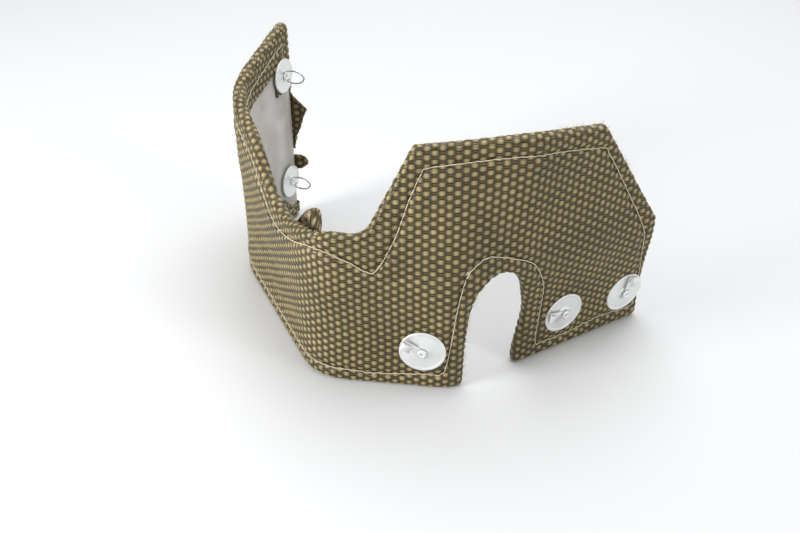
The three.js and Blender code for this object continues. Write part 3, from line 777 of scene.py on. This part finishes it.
def weave_group():
    """Height, top yarn, filament lines and shade of the plain weave, from the cloth's
    coordinates, by the same formula as the mesh."""
    tree, entry, end = new_group(
        "blanket_weave",
        [
            ("Cloth", "NodeSocketVector", None),
            ("Float Pitch", "NodeSocketFloat", FLOAT_PITCH),
            ("Row Pitch", "NodeSocketFloat", ROW_PITCH),
        ],
        [
            ("Height", "NodeSocketFloat"),
            ("Weft", "NodeSocketFloat"),
            ("Filaments", "NodeSocketFloat"),
            ("Shade", "NodeSocketFloat"),
        ],
    )
    split = tree.nodes.new("ShaderNodeSeparateXYZ")
    tree.links.new(entry.outputs["Cloth"], split.inputs[0])
    a = calc(tree, "DIVIDE", split.outputs[0], entry.outputs["Float Pitch"])
    b = calc(tree, "DIVIDE", split.outputs[1], entry.outputs["Row Pitch"])
    ia = calc(tree, "FLOOR", a)
    ib = calc(tree, "FLOOR", b)
    fa = calc(tree, "SUBTRACT", calc(tree, "SUBTRACT", a, ia), 0.5)
    fb = calc(tree, "SUBTRACT", calc(tree, "SUBTRACT", b, ib), 0.5)
    odd = calc(tree, "PINGPONG", calc(tree, "ADD", ia, ib), 1.0)
    side = calc(tree, "SUBTRACT", 1.0, calc(tree, "MULTIPLY", odd, 2.0))

    def swing(f):
        return calc(tree, "MULTIPLY", calc(tree, "COSINE", calc(tree, "MULTIPLY", f, math.pi)), side)

    def rest_of(f, width):
        scaled = calc(tree, "MULTIPLY", f, width)
        return calc(tree, "SUBTRACT", 1.0, calc(tree, "MULTIPLY", scaled, scaled))

    def back(rest):
        return calc(tree, "SQRT", calc(tree, "MAXIMUM", rest, 0.0))

    own = calc(tree, "MULTIPLY_ADD", swing(fa), YARN_SWING, FLOAT_LIFT)
    own = calc(tree, "MULTIPLY_ADD", back(rest_of(fb, 1 / FLOAT_SPREAD)), FLOAT_CROWN, own)
    lap = rest_of(calc(tree, "SUBTRACT", 1.0, calc(tree, "ABSOLUTE", fb)), 1 / FLOAT_SPREAD)
    near = calc(tree, "MULTIPLY_ADD", swing(fa), -YARN_SWING, FLOAT_LIFT)
    near = calc(tree, "MULTIPLY_ADD", back(lap), FLOAT_CROWN, near)
    bare = calc(tree, "MULTIPLY", calc(tree, "LESS_THAN", lap, 0.0), -3.0)
    weft = calc(tree, "MAXIMUM", own, calc(tree, "ADD", near, bare))
    warp = calc(tree, "MULTIPLY_ADD", swing(fb), -YARN_SWING, -WARP_SINK)
    warp = calc(tree, "MULTIPLY_ADD", back(rest_of(fa, 2.2)), WARP_CROWN, warp)
    height = calc(tree, "MAXIMUM", weft, warp)
    lead = calc(tree, "MULTIPLY", calc(tree, "SUBTRACT", weft, warp), 6.0)
    top = calc(tree, "ADD", lead, 0.5)
    top = calc(tree, "MINIMUM", calc(tree, "MAXIMUM", top, 0.0), 1.0)
    along_lines = calc(tree, "SINE", calc(tree, "MULTIPLY", b, 2 * math.pi * 5))
    upright_lines = calc(tree, "SINE", calc(tree, "MULTIPLY", a, 2 * math.pi * 7))
    difference = calc(tree, "SUBTRACT", along_lines, upright_lines)
    lines = calc(tree, "MULTIPLY_ADD", difference, top, upright_lines)
    white = tree.nodes.new("ShaderNodeTexWhiteNoise")
    tree.links.new(vector_of(tree, ia, ib, 0.5), white.inputs["Vector"])
    tree.links.new(height, end.inputs["Height"])
    tree.links.new(top, end.inputs["Weft"])
    tree.links.new(lines, end.inputs["Filaments"])
    tree.links.new(white.outputs["Value"], end.inputs["Shade"])
    return tree


WEAVE = weave_group()
print("weave group nodes", len(WEAVE.nodes))

# %% [markdown]
# The yarn is basalt fibre: a golden brown with a sheen like glass. Two colour ramps over the
# weave's height paint light and shade into it: the ovals' ramp paints shade down their backs
# and a highlight on their crowns, and the upright yarns' ramp paints shade into the pits.
# Each oval gets its own random tone, and broad noise darkens some areas. A bump follows the
# same height, with the filaments that are finer than the mesh.

# %% The woven cloth's finish
# The pit colour and the darkest oval colour are painted shade, and the palest oval colour is a painted
# highlight, the sheen on the ovals' crowns.
PIT_PAINTED_SHADE = (0.012, 0.007, 0.002)
WARP_BROWN = (0.170, 0.118, 0.044)
YARN_PAINTED_SHADE = (0.052, 0.037, 0.011)
YARN_OLIVE = (0.245, 0.190, 0.078)
YARN_PAINTED_HIGHLIGHT = (0.430, 0.350, 0.165)


def new_material(name):
    """A material with only its Principled BSDF and output."""
    material = bpy.data.materials.new(name)
    material.use_nodes = True
    return material, material.node_tree, material.node_tree.nodes["Principled BSDF"]


def use_group(tree, group):
    """Places a node group in a material."""
    node = tree.nodes.new("ShaderNodeGroup")
    node.node_tree = group
    return node


def woven_cloth(name):
    """The cover's finish, read from the piece's own cloth coordinates."""
    material, tree, shader = new_material(name)
    uv = tree.nodes.new("ShaderNodeUVMap")
    uv.uv_map = "cloth"
    weave = use_group(tree, WEAVE)
    tree.links.new(uv.outputs[0], weave.inputs["Cloth"])
    height, shade, weft = (weave.outputs[k] for k in ("Height", "Shade", "Weft"))
    # The ovals' ramp over height paints shade down their backs and a highlight on their crowns.
    float_colour_painted_light = ramp_of(
        tree, height, [(0.12, YARN_PAINTED_SHADE), (0.50, YARN_PAINTED_SHADE), (0.78, YARN_OLIVE), (1.0, YARN_PAINTED_HIGHLIGHT)]
    )
    # The upright yarns' ramp paints shade into the pits, near black where they lie lowest.
    warp_colour_painted_shade = ramp_of(tree, height, [(0.0, PIT_PAINTED_SHADE), (0.12, PIT_PAINTED_SHADE), (0.26, WARP_BROWN)])
    colour = mix_of(tree, weft, warp_colour_painted_shade, float_colour_painted_light)
    ovals = calc(tree, "MULTIPLY_ADD", shade, 0.26, 0.87)
    ovals = calc(tree, "MULTIPLY_ADD", weave.outputs["Filaments"], 0.06, ovals)
    colour = mix_of(tree, 1.0, colour, vector_of(tree, ovals, ovals, ovals), "MULTIPLY")
    broad = noise_of(tree, uv.outputs[0], 28, 3)
    broad = calc(tree, "MULTIPLY_ADD", broad, 0.6, 0.70)
    colour = mix_of(tree, 1.0, colour, vector_of(tree, broad, broad, broad), "MULTIPLY")
    tree.links.new(colour, shader.inputs["Base Color"])
    rough = calc(tree, "MULTIPLY_ADD", weft, 0.20, 0.25)
    rough = calc(tree, "MULTIPLY_ADD", shade, 0.10, rough)
    tree.links.new(rough, shader.inputs["Roughness"])
    metal = calc(tree, "MULTIPLY_ADD", weft, -0.30, 0.45)
    tree.links.new(metal, shader.inputs["Metallic"])
    shader.inputs["Specular IOR Level"].default_value = 0.6
    fine = calc(tree, "MULTIPLY_ADD", weave.outputs["Filaments"], 0.06, height)
    bump_into(tree, shader, fine, 0.6, 0.0007)
    return material


CLOTH = woven_cloth("basalt_weave")

# %% The liner's, fill's and metal's finishes


def speckled_group():
    """Soft blotches and fine grains, which the liner, the fill and the metal share."""
    tree, entry, end = new_group(
        "soft_wear",
        [
            ("Place", "NodeSocketVector", None),
            ("Blotch Scale", "NodeSocketFloat", 60.0),
            ("Grain Scale", "NodeSocketFloat", 1500.0),
        ],
        [("Blotch", "NodeSocketFloat"), ("Grain", "NodeSocketFloat")],
    )
    for scale, detail, out in (("Blotch Scale", 3.0, "Blotch"), ("Grain Scale", 1.0, "Grain")):
        noise = tree.nodes.new("ShaderNodeTexNoise")
        noise.inputs["Detail"].default_value = detail
        tree.links.new(entry.outputs["Place"], noise.inputs["Vector"])
        tree.links.new(entry.outputs[scale], noise.inputs["Scale"])
        tree.links.new(noise.outputs[0], end.inputs[out])
    return tree


WEAR = speckled_group()


def place_of(tree):
    """Texture Coordinate's Object output."""
    return tree.nodes.new("ShaderNodeTexCoord").outputs["Object"]


def blotchy(name, dark, pale, roughness, metallic=0.0, blotch=60.0, grain=1500.0, bump_size=0.0002):
    """A finish whose colour and roughness follow the shared wear group."""
    material, tree, shader = new_material(name)
    wear = use_group(tree, WEAR)
    wear.inputs["Blotch Scale"].default_value = blotch
    wear.inputs["Grain Scale"].default_value = grain
    tree.links.new(place_of(tree), wear.inputs["Place"])
    colour = ramp_of(tree, wear.outputs["Blotch"], [(0.32, dark), (0.68, pale)])
    tree.links.new(colour, shader.inputs["Base Color"])
    low, high = roughness
    rough = calc(tree, "MULTIPLY_ADD", wear.outputs["Blotch"], high - low, low)
    tree.links.new(rough, shader.inputs["Roughness"])
    shader.inputs["Metallic"].default_value = metallic
    bump_into(tree, shader, wear.outputs["Grain"], 0.35, bump_size)
    return material


LINER = blotchy("silica_liner", (0.50, 0.49, 0.46), (0.64, 0.63, 0.60), (0.75, 0.9))
FILL = blotchy("fibre_fill", (0.70, 0.67, 0.60), (0.82, 0.80, 0.74), (0.9, 1.0))
ZINC = blotchy(
    "zinc_plate", (0.80, 0.81, 0.80), (0.90, 0.905, 0.90), (0.34, 0.52), 0.75, 90, 900, 0.00004
)
WIRE = blotchy(
    "drawn_wire", (0.34, 0.36, 0.37), (0.46, 0.48, 0.49), (0.2, 0.35), 1.0, 200, 2000, 0.00003
)
THREAD = blotchy(
    "cream_thread", (0.62, 0.54, 0.40), (0.80, 0.72, 0.58), (0.6, 0.8), 0.0, 300, 4000, 0.0001
)

# %% Finishing the cloth pieces
for piece in (cover_face, edge_roll, hem_band):
    finish_piece(piece, CLOTH)
finish_piece(liner_cloth, LINER)
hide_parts("outer_cover")
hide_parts("inner_liner")
fill_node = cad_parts["fill_mat"]
fill_node.data.materials.clear()
fill_node.data.materials.append(FILL)

# %% [markdown]
# The thread is sewn in short stitches. Each rises out of the cloth, lies on it for about
# five millimetres and dips again. A round tube is carried along the stitch line, and its
# depth follows the groove with a wave for each stitch.

# %% Tubes along a path
THREAD_RADIUS = 0.00032
STITCH_LENGTH = 0.0052


def tube(name, path, radius, sides=8, closed=False):
    """Rings of points round a path: each ring lies across the path's own direction."""
    if closed:
        along = np.roll(path, -1, axis=0) - np.roll(path, 1, axis=0)
    else:
        along = np.gradient(path, axis=0)
    along /= np.maximum(np.linalg.norm(along, axis=1, keepdims=True), 1e-12)
    up = np.where(np.abs(along[:, 2:3]) > 0.9, np.array([[1.0, 0, 0]]), np.array([[0, 0, 1.0]]))
    side = np.cross(along, up)
    side /= np.linalg.norm(side, axis=1, keepdims=True)
    top = np.cross(side, along)
    radius = np.broadcast_to(radius, (len(path),))
    p = np.linspace(0, 2 * math.pi, sides, endpoint=False)
    ring = np.cos(p)[None, :, None] * side[:, None, :] + np.sin(p)[None, :, None] * top[:, None, :]
    places = (path[:, None, :] + radius[:, None, None] * ring).reshape(-1, 3)
    faces = grid_faces(len(path), sides, close_rows=closed, close_columns=True)
    return places, faces[:, ::-1]


def stitches(name, outside):
    """The stitch line read evenly, at the groove's depth plus the stitches' own wave."""
    points, _, at = resampled(STITCH_LINE[:-1], 0.0009)
    cloth_s, cloth_h = cloth_coordinates(points[:, 0], points[:, 1])
    wave = np.abs(np.sin(math.pi * at / STITCH_LENGTH)) ** 0.6
    stand = -0.00025 + 0.00085 * wave
    ground = GROOVE_DEPTH * 0.85 if outside else -GROOVE_DEPTH * 0.6 + THICKNESS
    sign = -1 if outside else 1
    side = 0.00025 * soft_noise(at / 0.004, at * 0, 21)
    places = bent(points[:, 0], points[:, 1] + side, ground + sign * (stand + THREAD_RADIUS))
    tube_places, faces = tube(name, places, THREAD_RADIUS, 6, closed=True)
    return finish_piece(mesh_from(name, tube_places, faces), THREAD)


stitches("stitch_outside", True)
stitches("stitch_inside", False)

# %% [markdown]
# The metal is turned and pressed. Each washer, boss and rivet is a profile spun round the
# anchor's axis, fine enough to be round from close up. A table gives each anchor's place
# on the cloth, and the solid that each new piece stands for is hidden.

# %% Where the anchors are
ANCHORS = [
    ("front", 0.300, 0.031, "out", 150),
    ("arch", 0.405, 0.031, "out", 168),
    ("end", 0.4585, 0.028, "out", 75),
    ("far_top", 0.015, 0.126, "in", 90),
    ("far_low", 0.016, 0.038, "in", 90),
]


def anchor_frame(at, up, side):
    """The anchor's centre on the face, and its three axes: along, up and away."""
    n = 0.0 if side == "out" else THICKNESS
    spot = np.array([(at, up), (at - 0.006, up), (at + 0.006, up), (at, up - 0.006), (at, up + 0.006)])
    centre, left, right, low, high = bent(spot[:, 0], spot[:, 1], np.full(5, n))
    along = (right - left) / np.linalg.norm(right - left)
    rise = (high - low) / np.linalg.norm(high - low)
    away = np.cross(along, rise)
    away /= np.linalg.norm(away)
    if side == "in":
        along = -along
        away = -away
    return centre, np.stack([along, np.cross(away, along), away])


def spun(profile, sides=96):
    """A profile of (radius, height) points turned once round the axis."""
    p = np.linspace(0, 2 * math.pi, sides, endpoint=False)
    profile = np.asarray(profile)
    places = np.stack(
        [
            np.cos(p)[:, None] * profile[None, :, 0],
            np.sin(p)[:, None] * profile[None, :, 0],
            np.broadcast_to(profile[None, :, 1], (sides, len(profile))),
        ],
        axis=-1,
    )
    faces = grid_faces(sides, len(profile), close_rows=True)
    return places.reshape(-1, 3), faces


def placed(places, centre, axes):
    """Local points put onto the cloth."""
    return centre + places @ axes


# %% [markdown]
# A profile's corners are rounded by small arcs, because a pressed edge always catches a
# line of light. Each corner of the profile is cut back and replaced by a short curve.

# %% Profiles with soft corners


def soft_profile(points, radius, parts=3, closed=True):
    """Each corner becomes a parabola between points a radius away on its two sides."""
    points = np.asarray(points, float)
    count = len(points)
    out = []
    for k in range(count):
        if not closed and k in (0, count - 1):
            out.append(points[k : k + 1])
            continue
        here = points[k]
        back = points[k - 1] - here
        on = points[(k + 1) % count] - here
        reach = min(radius, 0.4 * np.linalg.norm(back), 0.4 * np.linalg.norm(on))
        enter = here + back / np.linalg.norm(back) * reach
        leave = here + on / np.linalg.norm(on) * reach
        t = np.linspace(0, 1, parts + 1)[:, None]
        out.append((1 - t) ** 2 * enter + 2 * t * (1 - t) * here + t**2 * leave)
    return np.vstack(out)


WASHER_RADIUS = 0.015
FAR_WASHER_RADIUS = 0.013
WASHER_LIFT = 0.00065
WASHER_THICKNESS = 0.0009
WASHER_RIM = 0.0005
BOSS_RADIUS = 0.0052
BOSS_HEIGHT = 0.0009
BACK_RADIUS = 0.011
RIVET_RADIUS = 0.0016
RIVET_HEAD = 0.0031
RIVET_HEIGHT = 0.0010
RIVET_BORE = 0.0012
GAP = 0.0003
STRIP_WIDTH = 0.005
STRIP_THICKNESS = 0.0007
STRIP_CURL = 0.0018
WASHER_TOP = WASHER_LIFT + WASHER_THICKNESS
BOSS_TOP = WASHER_TOP + BOSS_HEIGHT
BACK_TOP = -THICKNESS - WASHER_LIFT - WASHER_THICKNESS


def washer_profile(rim):
    """From the hole along the underside, round the rolled rim and over the boss."""
    hole = RIVET_RADIUS + GAP
    return [
        (hole, WASHER_LIFT),
        (rim, WASHER_LIFT),
        (rim, WASHER_TOP + WASHER_RIM - 0.0003),
        (rim - 0.001, WASHER_TOP + WASHER_RIM),
        (rim - 0.0022, WASHER_TOP),
        (BOSS_RADIUS, WASHER_TOP),
        (BOSS_RADIUS - 0.0014, BOSS_TOP),
        (hole, BOSS_TOP),
    ]


def backing_profile():
    """A flat ring behind the blanket."""
    hole = RIVET_RADIUS + GAP
    low = -THICKNESS - WASHER_LIFT
    return [(hole, low), (hole, BACK_TOP), (BACK_RADIUS, BACK_TOP), (BACK_RADIUS, low)]


def rivet_profile(seat):
    """A hollow head with a rolled lip, the shank, and the set tail."""
    head = seat + GAP
    crown = head + RIVET_HEIGHT
    tail = BACK_TOP - GAP
    flare = tail - 0.8 * RIVET_HEIGHT
    return [
        (0.0, flare),
        (RIVET_HEAD * 0.8, flare),
        (RIVET_HEAD * 0.85, tail),
        (RIVET_RADIUS, tail),
        (RIVET_RADIUS, head),
        (RIVET_HEAD, head),
        (RIVET_HEAD, head + 0.0005),
        (RIVET_HEAD * 0.75, crown),
        (RIVET_BORE * 1.5, crown),
        (RIVET_BORE, crown - 0.0004),
        (RIVET_BORE, head - 0.0015),
        (0.0, head - 0.0015),
    ]


# %% [markdown]
# The strip hook is a flat steel tongue under the rivet head. It runs to the rim and curls
# back over itself. Its middle line is drawn from the side, thickened both ways and given
# its width, with a small bevel on every edge.

# %% The strip hook


def about_axis(turn):
    """The matrix that turns row vectors round the anchor's axis by some degrees."""
    c, s = math.cos(math.radians(turn)), math.sin(math.radians(turn))
    return np.array([[c, s, 0], [-s, c, 0], [0, 0, 1]])


def hook_route():
    """Straight out to the rim, then round a curl of sixteen steps and back a little."""
    mid = BOSS_TOP + GAP + STRIP_THICKNESS / 2
    reach = WASHER_RADIUS - 0.002
    p = np.radians(-90 + 12.5 * np.arange(1, 17))
    centre = mid + STRIP_CURL
    curl = np.stack([reach + STRIP_CURL * np.cos(p), centre + STRIP_CURL * np.sin(p)], axis=1)
    start = np.array([[-0.75 * STRIP_WIDTH, mid], [reach - 0.006, mid], [reach, mid]])
    back = np.array([[reach - 0.005, centre + 0.75 * STRIP_CURL]])
    return np.vstack([start, curl, back])


def strip_hook(turn):
    """A rounded rectangle carried along the hook's route and turned to its direction."""
    route = hook_route()
    along = np.gradient(route, axis=0)
    along /= np.linalg.norm(along, axis=1, keepdims=True)
    out = np.stack([-along[:, 1], along[:, 0]], axis=1)
    half_w = STRIP_WIDTH / 2
    half_t = STRIP_THICKNESS / 2
    corners = [(-half_w, -half_t), (half_w, -half_t), (half_w, half_t), (-half_w, half_t)]
    section = soft_profile(corners, 0.00018, 2)
    wide = section[None, :, 0:1]
    thick = section[None, :, 1:2]
    x = route[:, None, 0:1] + out[:, None, 0:1] * thick
    z = route[:, None, 1:2] + out[:, None, 1:2] * thick
    y = np.broadcast_to(wide, x.shape)
    local = np.concatenate([x, y, z], axis=2).reshape(-1, 3)
    faces = grid_faces(len(route), len(section), close_columns=True)
    return local @ about_axis(turn), faces


# %% The wire loop
WIRE_RADIUS = 0.00055
WIRE_REACH = 0.015
WIRE_SPREAD = 0.009


def spatial_curve(knots, per_span):
    """The flat curve's formula, taken for x and y and then for z."""
    knots = np.asarray(knots, float)
    flat = smooth_curve(knots[:, :2], per_span)
    deep = smooth_curve(np.stack([knots[:, 2], knots[:, 2]], axis=1), per_span)
    return np.concatenate([flat, deep[:, :1]], axis=1)


def wire_route(turn):
    """Two feet beside the rivet, joined by a bow that stands off the washer."""
    foot = BOSS_TOP + GAP + WIRE_RADIUS
    half = WIRE_SPREAD / 2
    start = RIVET_HEAD + GAP + WIRE_RADIUS
    right = [
        (start, 0.005, foot),
        (start + 0.0002, 0.0015, foot + 0.0001),
        (start + 0.0001, 0.0, foot + 0.0015),
        (half + 0.0003, 0.0, foot + WIRE_REACH * 0.45),
        (half * 0.8, 0.0, foot + WIRE_REACH * 0.8),
    ]
    left = [(-x, -y, z) for x, y, z in reversed(right)]
    route = spatial_curve([*right, (0, 0, foot + WIRE_REACH), *left], 6)
    return route @ about_axis(turn)


# %% Closing open ends


def close_ends(piece):
    """Fills each open end of a tube with one face."""
    shape = bmesh.new()
    shape.from_mesh(piece.data)
    bmesh.ops.remove_doubles(shape, verts=shape.verts, dist=1e-7)
    rim = [edge for edge in shape.edges if edge.is_boundary]
    if rim:
        bmesh.ops.holes_fill(shape, edges=rim, sides=0)
    bmesh.ops.recalc_face_normals(shape, faces=shape.faces)
    shape.to_mesh(piece.data)
    shape.free()


def metal_piece(node, local, faces, at, slot, material):
    """A local shape put on its anchor, closed, and standing for its node."""
    centre, axes = at
    piece = mesh_from(node + "_finished", placed(local, centre, axes), faces)
    close_ends(piece)
    finish_piece(piece, material)
    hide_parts(node)
    return piece


# %% The five anchors
for name, at, up, side, turn in ANCHORS:
    here = anchor_frame(at, up, side)
    hooked = side == "out"
    rim = WASHER_RADIUS if hooked else FAR_WASHER_RADIUS
    seat = BOSS_TOP + GAP + STRIP_THICKNESS if hooked else BOSS_TOP
    washer = spun(soft_profile(washer_profile(rim), 0.00022))
    backing = spun(soft_profile(backing_profile(), 0.0002), 64)
    rivet = spun(soft_profile(rivet_profile(seat), 0.0003, closed=False), 48)
    metal_piece(f"{name}_washer", *washer, here, "zinc_steel", ZINC)
    metal_piece(f"{name}_backing_washer", *backing, here, "zinc_steel", ZINC)
    metal_piece(f"{name}_rivet", *rivet, here, "zinc_steel", ZINC)
    if hooked:
        metal_piece(f"{name}_strip_hook", *strip_hook(turn), here, "zinc_steel", ZINC)
    else:
        wire = tube(name, wire_route(turn), WIRE_RADIUS, 12)
        metal_piece(f"{name}_wire_loop", *wire, here, "spring_wire", WIRE)

# %% [markdown]
# At the far end the hem was never sewn down, so two loose ends of it stand off the liner.
# In the valley a tab of hem has sprung up behind the edge. Each is a small curved sheet of
# the same cloth. Its outline is a width that changes along its length, and a Solidify
# modifier makes it as thick as the cloth.

# %% Loose ends of the hem


def loose_end(name, start, run, reach, curl):
    """From the edge point start, run leads along the edge. The share v from nought to one
    goes inwards by reach(u) times sine v, and away from the edge by curl times v squared."""
    u, v = np.meshgrid(np.linspace(0, 1, 48), np.linspace(0, 1, 26))
    rise = reach(u)
    s = start[0] + run[0] * u + curl[0] * v**2 + 0.0006 * soft_noise(u * 9, v * 3, 31)
    h = start[1] + run[1] * u + curl[1] * v**2 * rise / rise.max()
    n = 0.0045 + rise * np.sin(0.5 * math.pi * v) + 0.0008 * soft_noise(u * 8, v * 5, 32)
    cloth_s = (start[0] - rise * v).ravel()
    cloth_h = (start[1] + run[1] * u + run[0] * u).ravel()
    cloth_s, cloth_h = cloth_coordinates(cloth_s, cloth_h)
    n = n.ravel() + relief(cloth_s, cloth_h)
    places = bent(s.ravel(), h.ravel(), n)
    piece = mesh_from(name, places, grid_faces(*u.shape), np.stack([cloth_s, cloth_h], axis=1))
    wall = piece.modifiers.new("cloth", "SOLIDIFY")
    wall.thickness = HEM_CLOTH
    wall.offset = 0
    return finish_piece(piece, CLOTH)


def peaked(u):
    """Nearly nothing at the ends and 15 mm at a sharp peak six tenths along."""
    slope = np.where(u < 0.62, 0.62, 0.30)
    return 0.0015 + 0.0135 * np.clip(1 - np.abs(u - 0.62) / slope, 0, 1) ** 1.2


def domed(u):
    """A round top, 13 mm high, with steep ends."""
    return 0.002 + 0.011 * np.sqrt(np.clip(1 - (2 * u - 1) ** 2, 0, 1))


loose_end("far_hem_flap", (0.0015, 0.060), (0.0, 0.052), peaked, (0.001, 0.004))
loose_end("far_hem_scrap", (0.0015, 0.042), (0.0, 0.012), domed, (0.0, 0.003))
loose_end("valley_hem_tab", (0.195, 0.093), (0.030, 0.0), domed, (0.0, 0.018))

# %% [markdown]
# Cut yarn frays. Along the left of the arch and at the upper corners, fine fibres stand out
# of the roll and curl over. Each place's fibres are one piece. The place, length and bend
# of a fibre come from its number, so they are the same on each run.

# %% Frayed fibres
FIBRE_RADIUS = 0.00011
FIBRE_STEPS = 6


def fray(name, frayed, count, length, seed):
    """Each fibre leaves the outline outwards and bends along it as its length squared."""
    points, way, _ = resampled(OUTLINE, 0.0004)
    k = np.arange(count)
    chosen = np.flatnonzero(frayed(points[:, 0], points[:, 1]))
    pick = 0.4999 + 0.4999 * soft_hash(k, 1.0, seed)
    index = chosen[(pick * len(chosen)).astype(int)]
    long = length * (0.45 + 0.55 * np.abs(soft_hash(k, 2.0, seed)))
    lean = 0.9 * soft_hash(k, 3.0, seed)
    deep = THICKNESS * (0.5 + 0.4 * soft_hash(k, 4.0, seed))
    drift = 0.5 * soft_hash(k, 5.0, seed)
    v = np.linspace(0, 1, FIBRE_STEPS)[None, :]
    out = long[:, None] * v - 0.0008
    aside = long[:, None] * lean[:, None] * v**2
    along = np.stack([-way[index][:, 1], way[index][:, 0]], axis=1)
    flat = points[index][:, None, :] - way[index][:, None, :] * out[..., None]
    flat = flat + along[:, None, :] * aside[..., None]
    n = deep[:, None] + long[:, None] * drift[:, None] * v**2
    paths = bent(flat[..., 0], flat[..., 1], n)
    places = []
    faces = []
    for number, path in enumerate(paths):
        radius = FIBRE_RADIUS * np.linspace(1.0, 0.4, FIBRE_STEPS)
        spots, sides = tube(name, path, radius, 3)
        places.append(spots)
        faces.append(sides + number * len(spots))
    piece = mesh_from(name, np.vstack(places), np.vstack(faces))
    close_ends(piece)
    return finish_piece(piece, THREAD)


def along_arch(s, h):
    """The left side of the pipe opening, without the foot of it."""
    return (s > 0.27) & (s < 0.35) & (h < 0.075) & (h > 0.003)


def cut_corners(s, h):
    """The upper corners of the right panel and the far end's upper edge."""
    return ((s > 0.38) & (h > 0.12)) | ((s < 0.03) & (h > 0.10))


fray("arch_fray", along_arch, 150, 0.0045, 5)
fray("corner_fray", cut_corners, 160, 0.0040, 6)


# %% [markdown]
# The studio is a pale floor under soft light. A wide softbox above and behind gives the
# floor its even white. One at the left brightens the far wing's face, and a small one at
# the right puts glints on the right panel. The world fills the rest. Camera rays see a
# slightly paler floor than the light does.

# %% The floor
FLOOR_SIZE = 6.0
FLOOR_LIT = (0.67, 0.675, 0.68)
FLOOR_SEEN = (0.75, 0.755, 0.765)


def floor_material():
    """Diffuse, with its colour a little paler for camera, glossy and clear rays."""
    material, tree, shader = new_material("studio_floor")
    colour = mix_of(tree, seen_directly(tree), FLOOR_LIT, FLOOR_SEEN)
    tree.links.new(colour, shader.inputs["Base Color"])
    shader.inputs["Roughness"].default_value = 0.9
    shader.inputs["Specular IOR Level"].default_value = 0.1
    return material


def floor():
    """A square round the origin, at the level of the blanket's lower edge."""
    half = FLOOR_SIZE / 2
    corners = np.array([(-half, -half, 0), (half, -half, 0), (half, half, 0), (-half, half, 0)])
    piece = mesh_from("floor", corners, np.array([[0, 1, 2, 3]]))
    piece.data.materials.append(floor_material())
    return piece


floor()

# %% The lights


def softbox(name, place, target, size, power):
    """A square area light that faces its target."""
    data = bpy.data.lights.new(name, "AREA")
    data.size = size
    data.energy = power
    lamp = bpy.data.objects.new(name, data)
    lamp.location = place
    aim = np.subtract(target, place)
    flat = math.hypot(aim[0], aim[1])
    lamp.rotation_euler = (math.atan2(flat, -aim[2]), 0, math.atan2(aim[1], aim[0]) - math.pi / 2)
    bpy.context.scene.collection.objects.link(lamp)
    return lamp


softbox("top_light", (0.15, 0.45, 1.4), (0, 0, 0.05), 1.2, 15)
softbox("left_light", (-1.1, -0.55, 0.45), (-0.05, 0, 0.06), 0.45, 13)
softbox("right_light", (1.0, -0.75, 0.75), (0.08, 0, 0.08), 0.35, 3.5)

SKY_LIGHT = 0.50
SKY_SEEN = 0.90
world = bpy.data.worlds.new("studio")
world.use_nodes = True
bpy.context.scene.world = world
sky = world.node_tree
background = sky.nodes["Background"]
background.inputs["Color"].default_value = (0.95, 0.96, 0.97, 1)
strength = calc(sky, "MULTIPLY_ADD", seen_directly(sky), SKY_SEEN - SKY_LIGHT, SKY_LIGHT)
sky.links.new(strength, background.inputs["Strength"])
bpy.context.scene.view_settings.view_transform = "Standard"
